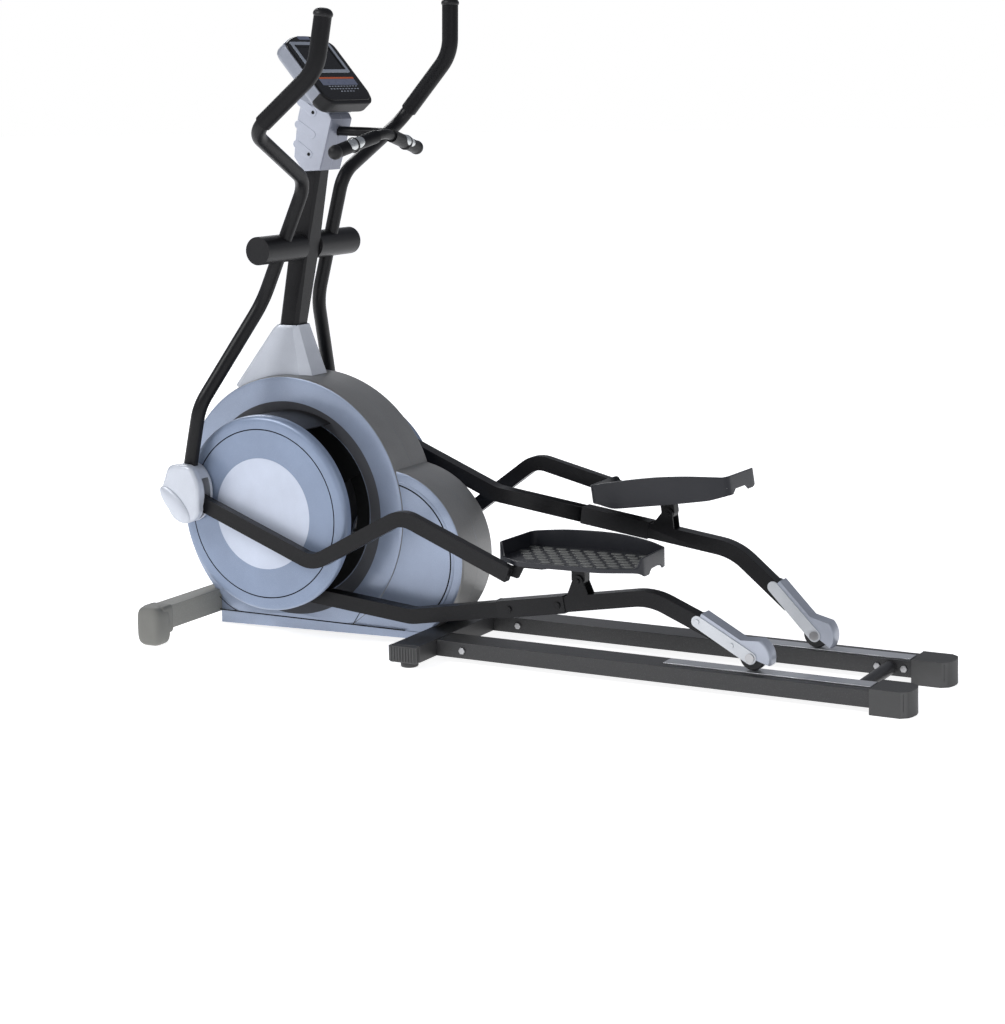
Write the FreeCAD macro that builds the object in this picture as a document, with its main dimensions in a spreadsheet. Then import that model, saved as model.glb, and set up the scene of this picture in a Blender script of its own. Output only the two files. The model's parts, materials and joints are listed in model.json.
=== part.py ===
import FreeCAD, Part
import math
import os
import re
import Sketcher

# Elliptical trainer: a steel frame on rails, a covered crank and flywheel drive, and on each
# side a swinging handlebar, a link arm with its foot pedal, and a roller arm on the rail.
# Millimetres. +X points to the rear of the machine, +Y to its right side, +Z up.
# Everything is drawn about the crank axis and then moved so that the origin lies under the
# middle of the machine, on the floor.

LEFT = -1
RIGHT = 1
SIDES = {"left": LEFT, "right": RIGHT}

V = FreeCAD.Vector
doc = FreeCAD.newDocument("elliptical_trainer")

# ---------------------------------------------------------------------------
# Driving dimensions
# ---------------------------------------------------------------------------

SIZES = {
    # overall reach from the crank axis
    "rear_reach": 1707,
    # general
    "tube_wall": 2.5,
    "plastic_wall": 3,
    "running_gap": 0.05,
    "seat_gap": 0.3,
    "soft_gap": 0.3,
    # rails
    "rail_offset": 142,
    "rail_width": 80,
    "rail_height": 40,
    "rail_bottom": 15,
    "rail_end_inset": 17,
    "rail_cap_length": 96,
    "rail_cap_wall": 5,
    "track_offset": 134,
    "track_width": 44,
    "track_thickness": 2.5,
    "track_length": 515,
    "track_end_gap": 7,
    "cross_tube_radius": 16,
    "cross_tube_inset": 149,
    "bolt_radius": 5,
    "bolt_head": 9,
    # middle stabiliser
    "mid_rear": 482,
    "mid_depth": 76,
    "mid_height": 42,
    "mid_half_length": 262,
    "mid_cap_length": 20,
    "mid_foot_radius": 22,
    # front stabiliser
    "front_rear_face": -250,
    "front_depth": 56,
    "front_height": 60,
    "front_bottom": 36,
    "front_half_length": 300,
    "front_cap_length": 66,
    "front_cap_wall": 6,
    # main frame
    "spine_width": 60,
    "spine_height": 40,
    "spine_bottom": 20,
    "post_width": 50,
    "post_top": 592,
    "flange_width": 92,
    "flange_thickness": 8,
    "bracket_shell_radius": 27,
    "bracket_shell_half": 34,
    "bearing_outer": 23,
    "bearing_width": 14,
    # crank and drive
    "crank_height": 343,
    "crank_radius": 215,
    "crank_angle": 252,
    "axle_radius": 10,
    "axle_half_length": 108,
    "crank_arm_offset": 99,
    "crank_arm_thickness": 14,
    "crank_hub_radius": 24,
    "crank_tip_radius": 18,
    "pulley_radius": 125,
    "pulley_offset": 44,
    "pulley_width": 16,
    "belt_thickness": 3,
    "flywheel_x": 278,
    "flywheel_height": 231,
    "flywheel_radius": 140,
    "flywheel_width": 26,
    "flywheel_pulley_radius": 24,
    "flywheel_axle_radius": 8,
    "magnet_gap": 4,
    # housing
    "drum_x": -15,
    "drum_height": 333,
    "drum_radius": 346,
    "ring_inner": 280,
    "housing_half_width": 84,
    "well_depth": 20,
    "well_lip_radius": 233,
    "lobe_radius": 223,
    "lobe_half_width": 78,
    "edge_round": 10,
    "pan_front": -272,
    "pan_rear": 398,
    "pan_top": 118,
    "pan_half_width": 76,
    "base_top": 40,
    "base_cover_low_front": 6,
    "base_cover_low_rear": 22,
    # crank covers
    "cover_radius": 252,
    "cover_face": 226,
    "cover_depth": 26,
    "cover_groove_radius": 218,
    "cover_badge_radius": 143,
    "shroud_overlap": 12,
    "shroud_start": 62,
    "shroud_end": 205,
    # mast and its covers
    "pivot_height": 1012,
    "mast_lean": 11.7,
    "mast_width": 58,
    "mast_above_pivot": 318,
    "boot_top": 806,
    "boot_bottom": 640,
    # handlebars
    "pivot_shaft_radius": 14,
    "hub_radius": 36,
    "hub_half_length": 210,
    "hub_cap": 5,
    "handle_tube_radius": 18,
    "foam_thickness": 3.6,
    "hub_gap": 1,
    "handle_offset": 109,
    "handle_low_offset": 253,
    "handle_spread": 378,
    "knee_height": 385.6,
    "knee_forward": 220.59,
    # link arm and pedal
    "link_length": 1090,
    "link_width": 24,
    "link_height": 38,
    "link_eye_radius": 19,
    "fork_plate": 5,
    "pedal_front": -185,
    "pedal_rear": 205,
    "pedal_inner": 32,
    "pedal_outer": 258,
    "pedal_bottom": 50,
    "pedal_floor": 6,
    "pedal_wall": 5,
    "pedal_skirt": 18,
    "pedal_rim_outer": 61,
    "pedal_rim_inner": 102,
    "pedal_tilt": 8.3,
    # roller arm
    "arm_offset": 130,
    "arm_length": 1377,
    "arm_width": 36,
    "arm_height": 38,
    "ear_thickness": 4,
    "pedal_pivot_back": 453.9,
    "pedal_pivot_up": 123.8,
    "hinge_pin_radius": 6,
    "roller_radius": 32,
    "roller_width": 22,
    "roller_axle_radius": 6,
    "bracket_reach": 152,
    "bracket_wall": 2.5,
    "bracket_plate": 3,
    "fender_radius": 50,
    "support_plate": 5,
    # console
    "console_width": 222,
    "console_length": 206,
    "console_depth": 46,
    "console_tilt": 49.7,
    "console_top_x": 25,
    "console_above_pivot": 530,
    "key_width": 20,
    "key_travel": 1.5,
    # fixed handlebar
    "grip_bar_radius": 13,
    "grip_bar_x": 256,
    "grip_bar_above_pivot": 290,
    "grip_bar_half_span": 190,
    "grip_bar_drop": 43,
    "grip_bar_sweep": 26,
}

sheet = doc.addObject("Spreadsheet::Sheet", "Sizes")
for row, (alias, number) in enumerate(SIZES.items(), start=1):
    sheet.set("A%d" % row, alias.replace("_", " "))
    sheet.set("B%d" % row, repr(number))
    sheet.setAlias("B%d" % row, alias)
sheet.set("B%d" % (len(SIZES) + 1), "=(drum_radius - drum_x - rear_reach) / 2")
sheet.setAlias("B%d" % (len(SIZES) + 1), "crank_x")
doc.recompute()


def size(alias):
    """A cell's number."""
    return float(sheet.get(alias))


def bound(expression):
    """An expression in cell names, as the document reads it."""
    return re.sub(r"[a-z_]{3,}", lambda m: m.group() if m.group() in ("sin", "cos", "tan")
                  else "Sizes." + m.group(), str(expression))


def number(expression):
    """The number that an expression in cell names gives now."""
    return float(sheet.evalExpression(str(expression)))


# ---------------------------------------------------------------------------
# Ways to make a solid
# ---------------------------------------------------------------------------

def bind(thing, **expressions):
    """Bind properties of a document object to the sheet."""
    for name, expression in expressions.items():
        thing.setExpression(name, bound(expression))
    return thing


def put(thing, x="0", y="0", z="0"):
    """Bind an object's place to the sheet."""
    thing.setExpression(".Placement.Base.x", bound(x))
    thing.setExpression(".Placement.Base.y", bound(y))
    thing.setExpression(".Placement.Base.z", bound(z))
    return thing


def box(name, x, y, z):
    """A box between pairs of expressions along X, Y and Z."""
    thing = doc.addObject("Part::Box", name)
    bind(thing, Length="(%s)-(%s)" % (x[1], x[0]), Width="(%s)-(%s)" % (y[1], y[0]),
         Height="(%s)-(%s)" % (z[1], z[0]))
    return put(thing, x[0], y[0], z[0])


def rod(name, radius, y, x="0", z="0"):
    """A round rod along Y between two expressions."""
    thing = doc.addObject("Part::Cylinder", name)
    thing.Placement = FreeCAD.Placement(V(), FreeCAD.Rotation(V(1, 0, 0), -90))
    bind(thing, Radius=radius, Height="(%s)-(%s)" % (y[1], y[0]))
    return put(thing, x, y[0], z)


def pin_between(side, inner, outer):
    """The Y range of a piece from inner to outer distance on one side, low end first."""
    return ("-(%s)" % outer, "-(%s)" % inner) if side == LEFT else (inner, outer)


def outline(body, role, points):
    """A closed sketch of straight lines whose corners are bound to the sheet."""
    sketch = body.newObject("Sketcher::SketchObject", body.Name + "_outline")
    plane = [f for f in body.Origin.OriginFeatures if f.Role == role][0]
    sketch.AttachmentSupport = [(plane, "")]
    sketch.MapMode = "FlatFace"
    corners = [V(number(a), number(b), 0) for a, b in points]
    count = len(corners)
    for i in range(count):
        sketch.addGeometry(Part.LineSegment(corners[i], corners[(i + 1) % count]))
    for i in range(count):
        sketch.addConstraint(Sketcher.Constraint("Coincident", i, 2, (i + 1) % count, 1))
    for i, (a, b) in enumerate(points):
        for kind, expression, start in (("DistanceX", a, corners[i].x), ("DistanceY", b, corners[i].y)):
            which = sketch.addConstraint(Sketcher.Constraint(kind, -1, 1, i, 1, start))
            sketch.setExpression("Constraints[%d]" % which, bound(expression))
    return sketch


def plate(name, points, thickness, y="0"):
    """A body padded both ways along Y from a sketch of X and Z."""
    body = doc.addObject("PartDesign::Body", name)
    sketch = outline(body, "XZ_Plane", points)
    pad = body.newObject("PartDesign::Pad", name + "_pad")
    pad.Profile = sketch
    pad.Midplane = True
    bind(pad, Length=thickness)
    return put(body, y=y)


def slab(name, points, z):
    """A body padded up along Z between two expressions from a sketch of X and Y."""
    body = doc.addObject("PartDesign::Body", name)
    sketch = outline(body, "XY_Plane", points)
    pad = body.newObject("PartDesign::Pad", name + "_pad")
    pad.Profile = sketch
    bind(pad, Length="(%s)-(%s)" % (z[1], z[0]))
    return put(body, z=z[0])


def turned(name, points, x="0", z="0"):
    """A body turned about an axis along Y, from a sketch of radius and Y."""
    body = doc.addObject("PartDesign::Body", name)
    sketch = outline(body, "XY_Plane", points)
    turn = body.newObject("PartDesign::Revolution", name + "_turn")
    turn.Profile = sketch
    turn.ReferenceAxis = (sketch, ["V_Axis"])
    turn.Angle = 360
    return put(body, x=x, z=z)


def less(name, base, *tools):
    """A base with tools cut away."""
    for i, tool in enumerate(tools):
        cut = doc.addObject("Part::Cut", "%s_less_%d" % (name, i))
        cut.Base = base
        cut.Tool = tool
        base = cut
    return base


def joined(name, *pieces):
    """Pieces welded or moulded as one."""
    fuse = doc.addObject("Part::MultiFuse", name)
    fuse.Shapes = list(pieces)
    fuse.Refine = True
    return fuse


def shaped(name, shape):
    """A shape that needs a free path or a loft."""
    thing = doc.addObject("Part::Feature", name)
    thing.Shape = shape
    return thing


NODES = []


def node(label, *pieces, placement=None):
    """A sub-part: one solid, or a group of separate ones, under the name that it is known by."""
    group = doc.addObject("Part::Compound", label)
    group.Label = label
    group.Links = list(pieces)
    if placement is None:
        group.setExpression(".Placement.Base.x", bound("crank_x"))
    else:
        group.Placement = placement
    NODES.append(group)
    return group


def bent_path(points, radii):
    """A wire through points with a tangent arc of the given radius at each inner point."""
    edges = []
    start = points[0]
    for before, corner, after, radius in zip(points, points[1:], points[2:], radii):
        into = (corner - before).normalize()
        out = (after - corner).normalize()
        turn = into.getAngle(out)
        setback = radius * math.tan(turn / 2)
        first = corner - into * setback
        last = corner + out * setback
        bisector = (out - into).normalize()
        middle = corner + bisector * (radius / math.cos(turn / 2) - radius)
        edges.append(Part.LineSegment(start, first).toShape())
        edges.append(Part.Arc(first, middle, last).toShape())
        start = last
    edges.append(Part.LineSegment(start, points[-1]).toShape())
    return Part.Wire(edges)


def round_section(path, radius):
    """A circle square to a path at its start."""
    start = path.Edges[0].Vertexes[0].Point
    heading = path.Edges[0].Vertexes[1].Point - start
    return Part.Wire(Part.makeCircle(radius, start, heading))


def square_section(path, width, height):
    """A rectangle square to a path in the XZ plane at its start, wide along Y."""
    start = path.Edges[0].Vertexes[0].Point
    heading = (path.Edges[0].Vertexes[1].Point - start).normalize()
    up = heading.cross(V(0, 1, 0))
    side = V(0, width / 2, 0)
    rise = up * (height / 2)
    corners = [start + side + rise, start - side + rise, start - side - rise, start + side - rise]
    return Part.makePolygon(corners + corners[:1])


def swept(path, section):
    """A solid of one closed section along a path."""
    return path.makePipeShell([section], True, True, 2)


def round_tube(path, radius, wall):
    return swept(path, round_section(path, radius)).cut(swept(path, round_section(path, radius - wall)))


def square_tube(path, width, height, wall):
    outer = swept(path, square_section(path, width, height))
    return outer.cut(swept(path, square_section(path, width - 2 * wall, height - 2 * wall)))


def rectangle(x, y, z):
    """Four corners of a level rectangle of half sizes about a point."""
    return [V(cx, cy, z) for cx, cy in ((x[0], y[0]), (x[1], y[0]), (x[1], y[1]), (x[0], y[1]))]


# ---------------------------------------------------------------------------
# Linkage: where each side's pieces stand when the crank is at a given angle
# ---------------------------------------------------------------------------

def circles_meet(one, one_radius, two, two_radius):
    """The crossing of two circles in the XZ plane that lies forward."""
    gap = two - one
    distance = gap.Length
    along = (one_radius ** 2 - two_radius ** 2 + distance ** 2) / (2 * distance)
    off = math.sqrt(one_radius ** 2 - along ** 2)
    unit = gap / distance
    foot = one + unit * along
    options = [foot + V(-unit.z, 0, unit.x) * off, foot - V(-unit.z, 0, unit.x) * off]
    return min(options, key=lambda point: point.x)


def heading_of(vector):
    """The angle of a vector in the XZ plane, from +X towards +Z, in degrees."""
    return math.degrees(math.atan2(vector.z, vector.x))


def turned_by(vector, degrees):
    """A vector turned in the XZ plane from +X towards +Z."""
    return FreeCAD.Rotation(V(0, -1, 0), degrees).multVec(vector)


def knee_rest():
    """The handlebar's joint with the link arm, about its pivot, when it hangs unturned."""
    return V(-size("knee_forward"), 0, number("knee_height-pivot_height"))


def linkage(crank_degrees):
    """Places and angles of one side, about the crank axis."""
    axis = V(0, 0, size("crank_height"))
    pivot = V(0, 0, size("pivot_height"))
    roller_z = number("rail_bottom+rail_height+track_thickness+roller_radius+seat_gap")
    pin = axis + turned_by(V(size("crank_radius"), 0, 0), crank_degrees)
    reach = math.sqrt(size("arm_length") ** 2 - (pin.z - roller_z) ** 2)
    roller = V(pin.x + reach, 0, roller_z)
    arm_angle = heading_of(roller - pin)
    pedal_local = V(-size("pedal_pivot_back"), 0, size("pedal_pivot_up"))
    pedal = roller + turned_by(pedal_local, arm_angle)
    knee = circles_meet(pivot, knee_rest().Length, pedal, size("link_length"))
    return {
        "pin": pin,
        "roller": roller,
        "arm_angle": arm_angle,
        "pedal": pedal,
        "link_angle": heading_of(pedal - knee),
        "knee": knee,
        "handle_angle": heading_of(knee - pivot) - heading_of(knee_rest()),
        "pivot": pivot,
    }


POSES = {
    "left": linkage(size("crank_angle")),
    "right": linkage(size("crank_angle") - 180),
}


def standing(point, degrees=0.0):
    """The placement of a piece drawn about its own pivot."""
    place = point + V(number("crank_x"), 0, 0)
    return FreeCAD.Placement(place, FreeCAD.Rotation(V(0, -1, 0), degrees))


# ---------------------------------------------------------------------------
# Frame on the floor
# ---------------------------------------------------------------------------

RAIL_TOP = "(rail_bottom+rail_height)"
RAIL_END = "(rear_reach-rail_end_inset)"
CAP_FRONT = "(rear_reach-rail_cap_length)"
TRACK_END = "(rear_reach-rail_cap_length-track_end_gap)"
CROSS_TUBE_X = "(rear_reach-cross_tube_inset)"


def hollow_box(name, x, y, z, wall, open_axis):
    """A rectangular tube, open at both ends along one axis."""
    inner = []
    for axis, (low, high) in zip("xyz", (x, y, z)):
        grow = "1" if axis == open_axis else "-(%s)" % wall
        inner.append(("%s-(%s)" % (low, grow), "%s+(%s)" % (high, grow)))
    return less(name, box(name + "_outside", x, y, z), box(name + "_bore", *inner))


def front_stabiliser():
    x = ("front_rear_face-front_depth", "front_rear_face")
    y = ("-front_half_length", "front_half_length")
    z = ("front_bottom", "front_bottom+front_height")
    node("front_stabiliser", hollow_box("front_tube", x, y, z, "tube_wall", "y"))
    caps = []
    for word, side in SIDES.items():
        grow = "front_cap_wall+seat_gap"
        sleeve = 24
        outside = slab("front_cap_%s_body" % word, [
            ("front_rear_face-front_depth-front_cap_wall", "%d*(front_half_length-%d)" % (side, sleeve)),
            ("front_rear_face+front_cap_wall+4", "%d*(front_half_length-%d)" % (side, sleeve)),
            ("front_rear_face+front_cap_wall+4", "%d*(front_half_length+front_cap_length*0.55)" % side),
            ("front_rear_face-front_depth*0.25", "%d*(front_half_length+front_cap_length)" % side),
            ("front_rear_face-front_depth*0.75", "%d*(front_half_length+front_cap_length)" % side),
            ("front_rear_face-front_depth-front_cap_wall", "%d*(front_half_length+front_cap_length*0.6)" % side),
        ], ("0", "front_bottom+front_height+" + grow))
        crown = box("front_cap_%s_slope" % word, (x[0] + "-20", x[1] + "+20"),
                    pin_between(side, "front_half_length+front_cap_length*0.7", "front_half_length+front_cap_length+5"),
                    ("front_bottom+front_height*0.75", "front_bottom+front_height+20"))
        hole = box("front_cap_%s_socket" % word, (x[0] + "-seat_gap", x[1] + "+seat_gap"),
                   pin_between(side, "front_half_length-%d-1" % sleeve, "front_half_length+seat_gap"),
                   (z[0] + "-seat_gap", z[1] + "+seat_gap"))
        caps.append(less("front_cap_" + word, outside, hole, crown))
    node("front_stabiliser_caps", *caps)


def mid_stabiliser():
    x = ("mid_rear-mid_depth", "mid_rear")
    y = ("-mid_half_length", "mid_half_length")
    z = ("rail_bottom", "rail_bottom+mid_height")
    node("mid_stabiliser", hollow_box("mid_tube", x, y, z, "tube_wall", "y"))
    caps = []
    for word, side in SIDES.items():
        end = box("mid_cap_%s_end" % word, x, pin_between(side, "mid_half_length", "mid_half_length+mid_cap_length"),
                  z)
        foot = doc.addObject("Part::Cylinder", "mid_foot_" + word)
        bind(foot, Radius="mid_foot_radius", Height="rail_bottom")
        put(foot, "mid_rear-mid_depth/2", "%d*(mid_half_length-mid_foot_radius+8)" % side, "0")
        caps += [end, foot]
    node("mid_stabiliser_caps", *caps)


def rails():
    for word, side in SIDES.items():
        centre = "%d*rail_offset" % side
        y = (centre + "-rail_width/2", centre + "+rail_width/2")
        tube = hollow_box(word + "_rail_tube", ("mid_rear", RAIL_END), y, ("rail_bottom", RAIL_TOP),
                          "tube_wall", "x")
        node(word + "_rail", tube)
    tracks = []
    caps = []
    for word, side in SIDES.items():
        centre = "%d*rail_offset" % side
        middle = "%d*track_offset" % side
        tracks.append(box(word + "_track", (TRACK_END + "-track_length", TRACK_END),
                          (middle + "-track_width/2", middle + "+track_width/2"),
                          (RAIL_TOP, RAIL_TOP + "+track_thickness")))
        half = "rail_width/2+rail_cap_wall+seat_gap"
        outside = slab("rail_cap_%s_body" % word, [
            (CAP_FRONT, "%s-(%s)" % (centre, half)),
            ("rear_reach-24", "%s-(%s)" % (centre, half)),
            ("rear_reach-8", "%s-(%s)+12" % (centre, half)),
            ("rear_reach", "%s-(%s)+30" % (centre, half)),
            ("rear_reach", "%s+(%s)-30" % (centre, half)),
            ("rear_reach-8", "%s+(%s)-12" % (centre, half)),
            ("rear_reach-24", "%s+(%s)" % (centre, half)),
            (CAP_FRONT, "%s+(%s)" % (centre, half)),
        ], ("0", RAIL_TOP + "+rail_cap_wall+seat_gap"))
        socket = box("rail_cap_%s_socket" % word, (CAP_FRONT + "-1", RAIL_END + "+seat_gap"),
                     (centre + "-rail_width/2-seat_gap", centre + "+rail_width/2+seat_gap"),
                     ("rail_bottom-seat_gap", RAIL_TOP + "+seat_gap"))
        caps.append(less("rail_cap_" + word, outside, socket))
    node("rail_tracks", *tracks)
    node("rail_end_caps", *caps)
    reach = "rail_offset-rail_width/2"
    tube = less("cross_tube", rod("cross_tube_outside", "cross_tube_radius", ("-(%s)" % reach, reach),
                                  CROSS_TUBE_X, "rail_bottom+rail_height/2"),
                rod("cross_tube_bore", "cross_tube_radius-tube_wall", ("-(%s)-1" % reach, "%s+1" % reach),
                    CROSS_TUBE_X, "rail_bottom+rail_height/2"))
    node("rail_cross_tube", tube)


def hex_head(name, side, x, face, z):
    """A bolt head standing on a face at a distance from the middle plane."""
    across = "bolt_head"
    points = []
    for k in range(6):
        turn = math.radians(60 * k)
        points.append(("%s+%s*%.4f" % (x, across, math.cos(turn)), "%s+%s*%.4f" % (z, across, math.sin(turn))))
    return plate(name, points, "bolt_radius", "%d*(%s+bolt_radius/2)" % (side, face))


def frame_bolts():
    heads = []
    middle = "rail_bottom+rail_height/2"
    outer = "rail_offset+rail_width/2"
    inner = "rail_offset-rail_width/2"
    for word, side in SIDES.items():
        heads.append(hex_head("rail_bolt_" + word, side, "mid_rear+74", outer, middle))
        heads.append(hex_head("rail_nut_" + word, -side, "mid_rear+74", "-(%s)" % inner, middle))
        for k, shift in enumerate(("-32", "+34")):
            heads.append(hex_head("cross_bolt_%s_%d" % (word, k), -side, CROSS_TUBE_X + shift,
                                  "-(%s)" % inner, middle))
    for k, (sx, sy) in enumerate(((-1, -1), (1, -1), (1, 1), (-1, 1))):
        head = doc.addObject("Part::Cylinder", "mast_bolt_%d" % k)
        bind(head, Radius="bolt_radius+2", Height="bolt_radius")
        put(head, "-(pivot_height-post_top)*tan(mast_lean)+%d*(flange_width/2-9)" % sx,
            "%d*(flange_width/2-9)" % sy, "post_top+2*flange_thickness")
        heads.append(head)
    node("frame_bolts", *heads)


def flange_span(axis):
    """The square flanges between the frame's post and the mast, along X or Y."""
    middle = "-(pivot_height-post_top)*tan(mast_lean)" if axis == "x" else "0"
    return ("%s-flange_width/2" % middle, "%s+flange_width/2" % middle)


def main_frame():
    spine = hollow_box("spine", ("front_rear_face", "mid_rear-mid_depth"), ("-spine_width/2", "spine_width/2"),
                       ("spine_bottom", "spine_bottom+spine_height"), "tube_wall", "x")
    lean = "tan(mast_lean)"
    low = "spine_bottom+spine_height"

    def on_mast(z, shift):
        return ("-(pivot_height-(%s))*%s%s" % (z, lean, shift), z)

    def leaning(name, wall):
        half = "post_width/2-%s" % wall
        return plate(name, [on_mast(low, "-(%s)" % half), on_mast(low, "+(%s)" % half),
                            on_mast("post_top", "+(%s)" % half), on_mast("post_top", "-(%s)" % half)],
                     "post_width-2*%s" % wall)

    post = less("post", leaning("post_outside", "0"), leaning("post_bore", "tube_wall"))
    flange = box("post_flange", flange_span("x"), flange_span("y"), ("post_top", "post_top+flange_thickness"))
    strut = box("crank_strut", ("-(pivot_height-crank_height)*%s+post_width/2-1" % lean, "0"),
                ("-post_width/2+5", "post_width/2-5"), ("crank_height-15", "crank_height+15"))
    shell = rod("crank_shell", "bracket_shell_radius", ("-bracket_shell_half", "bracket_shell_half"),
                "0", "crank_height")
    bore = rod("crank_bore", "bearing_outer", ("-bracket_shell_half-1", "bracket_shell_half+1"),
               "0", "crank_height")
    cheeks = []
    for word, y in (("left", ("-flywheel_width/2-22", "-flywheel_width/2-16")),
                    ("right", ("pulley_offset+pulley_width/2+6", "pulley_offset+pulley_width/2+12"))):
        cheeks.append(box("flywheel_cheek_" + word, ("flywheel_x-22", "flywheel_x+22"), y,
                          ("spine_bottom", "flywheel_height+22")))
    tie = box("flywheel_tie", ("flywheel_x-22", "flywheel_x+22"),
              ("-flywheel_width/2-22", "pulley_offset+pulley_width/2+12"),
              ("spine_bottom+spine_height-6", "spine_bottom+spine_height"))
    lug = box("brake_lug", ("flywheel_x-flywheel_radius-24", "flywheel_x-flywheel_radius-4"), ("-5", "5"),
              (low, "flywheel_height-70"))
    axle_hole = rod("flywheel_axle_hole", "flywheel_axle_radius+running_gap", ("-200", "200"),
                    "flywheel_x", "flywheel_height")
    brake_hole = rod("brake_pin_hole", "5+running_gap", ("-20", "20"),
                     "flywheel_x-flywheel_radius-14", "flywheel_height-82")
    frame = joined("frame_weldment", spine, post, flange, strut, shell, tie, lug, *cheeks)
    node("main_frame", less("frame_machined", frame, bore, axle_hole, brake_hole))


# ---------------------------------------------------------------------------
# Drive: crank, pulley, belt, flywheel and brake
# ---------------------------------------------------------------------------

def drive():
    bearings = []
    for word, side in SIDES.items():
        y0 = "%d*(bracket_shell_half-bearing_width)" % side
        y1 = "%d*bracket_shell_half" % side
        bearings.append(turned("crank_bearing_" + word, [
            ("axle_radius+running_gap", y0), ("bearing_outer-running_gap", y0),
            ("bearing_outer-running_gap", y1), ("axle_radius+running_gap", y1)], z="crank_height"))
    node("crank_bearings", *bearings)
    node("crank_axle", rod("axle", "axle_radius", ("-axle_half_length", "axle_half_length"), "0", "crank_height"))
    low = "pulley_offset-pulley_width/2"
    high = "pulley_offset+pulley_width/2"
    pulley = turned("pulley", [
        ("axle_radius+running_gap", low), ("22", low), ("22", "pulley_offset-3"),
        ("pulley_radius-10", "pulley_offset-3"), ("pulley_radius-10", low), ("pulley_radius+5", low),
        ("pulley_radius+5", low + "+2"), ("pulley_radius", low + "+2"), ("pulley_radius", high + "-2"),
        ("pulley_radius+5", high + "-2"), ("pulley_radius+5", high), ("pulley_radius-10", high),
        ("pulley_radius-10", "pulley_offset+3"), ("22", "pulley_offset+3"), ("22", high),
        ("axle_radius+running_gap", high)], z="crank_height")
    node("drive_pulley", pulley)
    arms = []
    for word, side in SIDES.items():
        centre = "%d*crank_arm_offset" % side
        y = (centre + "-crank_arm_thickness/2", centre + "+crank_arm_thickness/2")
        web = plate("crank_web_" + word, [("0", "-15"), ("crank_radius", "-12"), ("crank_radius", "12"),
                                          ("0", "15")], "crank_arm_thickness", centre)
        hub = rod("crank_hub_" + word, "crank_hub_radius", y)
        tip = rod("crank_tip_" + word, "crank_tip_radius-2", y, "crank_radius")
        hole = rod("crank_hub_hole_" + word, "axle_radius+running_gap", (y[0] + "-1", y[1] + "+1"))
        arm = less("crank_arm_bored_" + word, joined("crank_arm_%s" % word, web, hub, tip), hole)
        turn = size("crank_angle") if side == LEFT else size("crank_angle") - 180
        arm.Placement = FreeCAD.Placement(V(0, 0, size("crank_height")), FreeCAD.Rotation(V(0, -1, 0), turn))
        arms.append(arm)
    node("crank_arms", *arms)
    half = "flywheel_width/2"
    wheel = turned("flywheel_turned", [
        ("flywheel_axle_radius+running_gap", "-" + half), ("26", "-" + half), ("26", "-6"),
        ("flywheel_radius-34", "-6"), ("flywheel_radius-34", "-" + half), ("flywheel_radius", "-" + half),
        ("flywheel_radius", half), ("flywheel_radius-34", half), ("flywheel_radius-34", "6"),
        ("26", "6"), ("26", low), ("flywheel_pulley_radius+5", low), ("flywheel_pulley_radius+5", low + "+2"),
        ("flywheel_pulley_radius", low + "+2"), ("flywheel_pulley_radius", high + "-2"),
        ("flywheel_pulley_radius+5", high + "-2"), ("flywheel_pulley_radius+5", high),
        ("flywheel_axle_radius+running_gap", high)], "flywheel_x", "flywheel_height")
    node("flywheel", wheel)
    node("flywheel_axle", rod("flywheel_shaft", "flywheel_axle_radius",
                              ("-flywheel_width/2-30", "pulley_offset+pulley_width/2+18"),
                              "flywheel_x", "flywheel_height"))
    node("drive_belt", shaped("belt", belt_shape()))
    resistance_motor()
    brake()


def belt_loop(growth):
    """The outline of a belt round both pulleys, out from their rims by a growth."""
    big = V(0, 0, size("crank_height"))
    small = V(size("flywheel_x"), 0, size("flywheel_height"))
    big_radius = size("pulley_radius") + growth
    small_radius = size("flywheel_pulley_radius") + growth
    line = small - big
    base = math.atan2(line.z, line.x)
    spread = math.acos((big_radius - small_radius) / line.Length)

    def at(centre, radius, angle):
        return centre + V(radius * math.cos(angle), 0, radius * math.sin(angle))

    up = base + spread
    down = base - spread
    edges = [
        Part.LineSegment(at(big, big_radius, up), at(small, small_radius, up)).toShape(),
        Part.Arc(at(small, small_radius, up), at(small, small_radius, base),
                 at(small, small_radius, down)).toShape(),
        Part.LineSegment(at(small, small_radius, down), at(big, big_radius, down)).toShape(),
        Part.Arc(at(big, big_radius, down), at(big, big_radius, base + math.pi),
                 at(big, big_radius, up)).toShape(),
    ]
    return Part.Face(Part.Wire(edges))


def belt_shape():
    gap = size("soft_gap")
    width = size("pulley_width") - 5
    ring = belt_loop(gap + size("belt_thickness")).cut(belt_loop(gap))
    belt = ring.extrude(V(0, width, 0))
    belt.translate(V(0, size("pulley_offset") - width / 2, 0))
    return belt


def resistance_motor():
    """The small geared motor on the spine that turns the magnet bracket."""
    top = "spine_bottom+spine_height"
    case = box("motor_case", ("30", "92"), ("-22", "22"), (top, top + "+44"))
    boss = rod("motor_boss", "11", ("-32", "-22"), "72", top + "+24")
    arm = box("motor_arm", ("72", "106"), ("-30", "-26"), (top + "+20", top + "+28"))
    node("resistance_motor", joined("motor_body", case, boss, arm))


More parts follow.
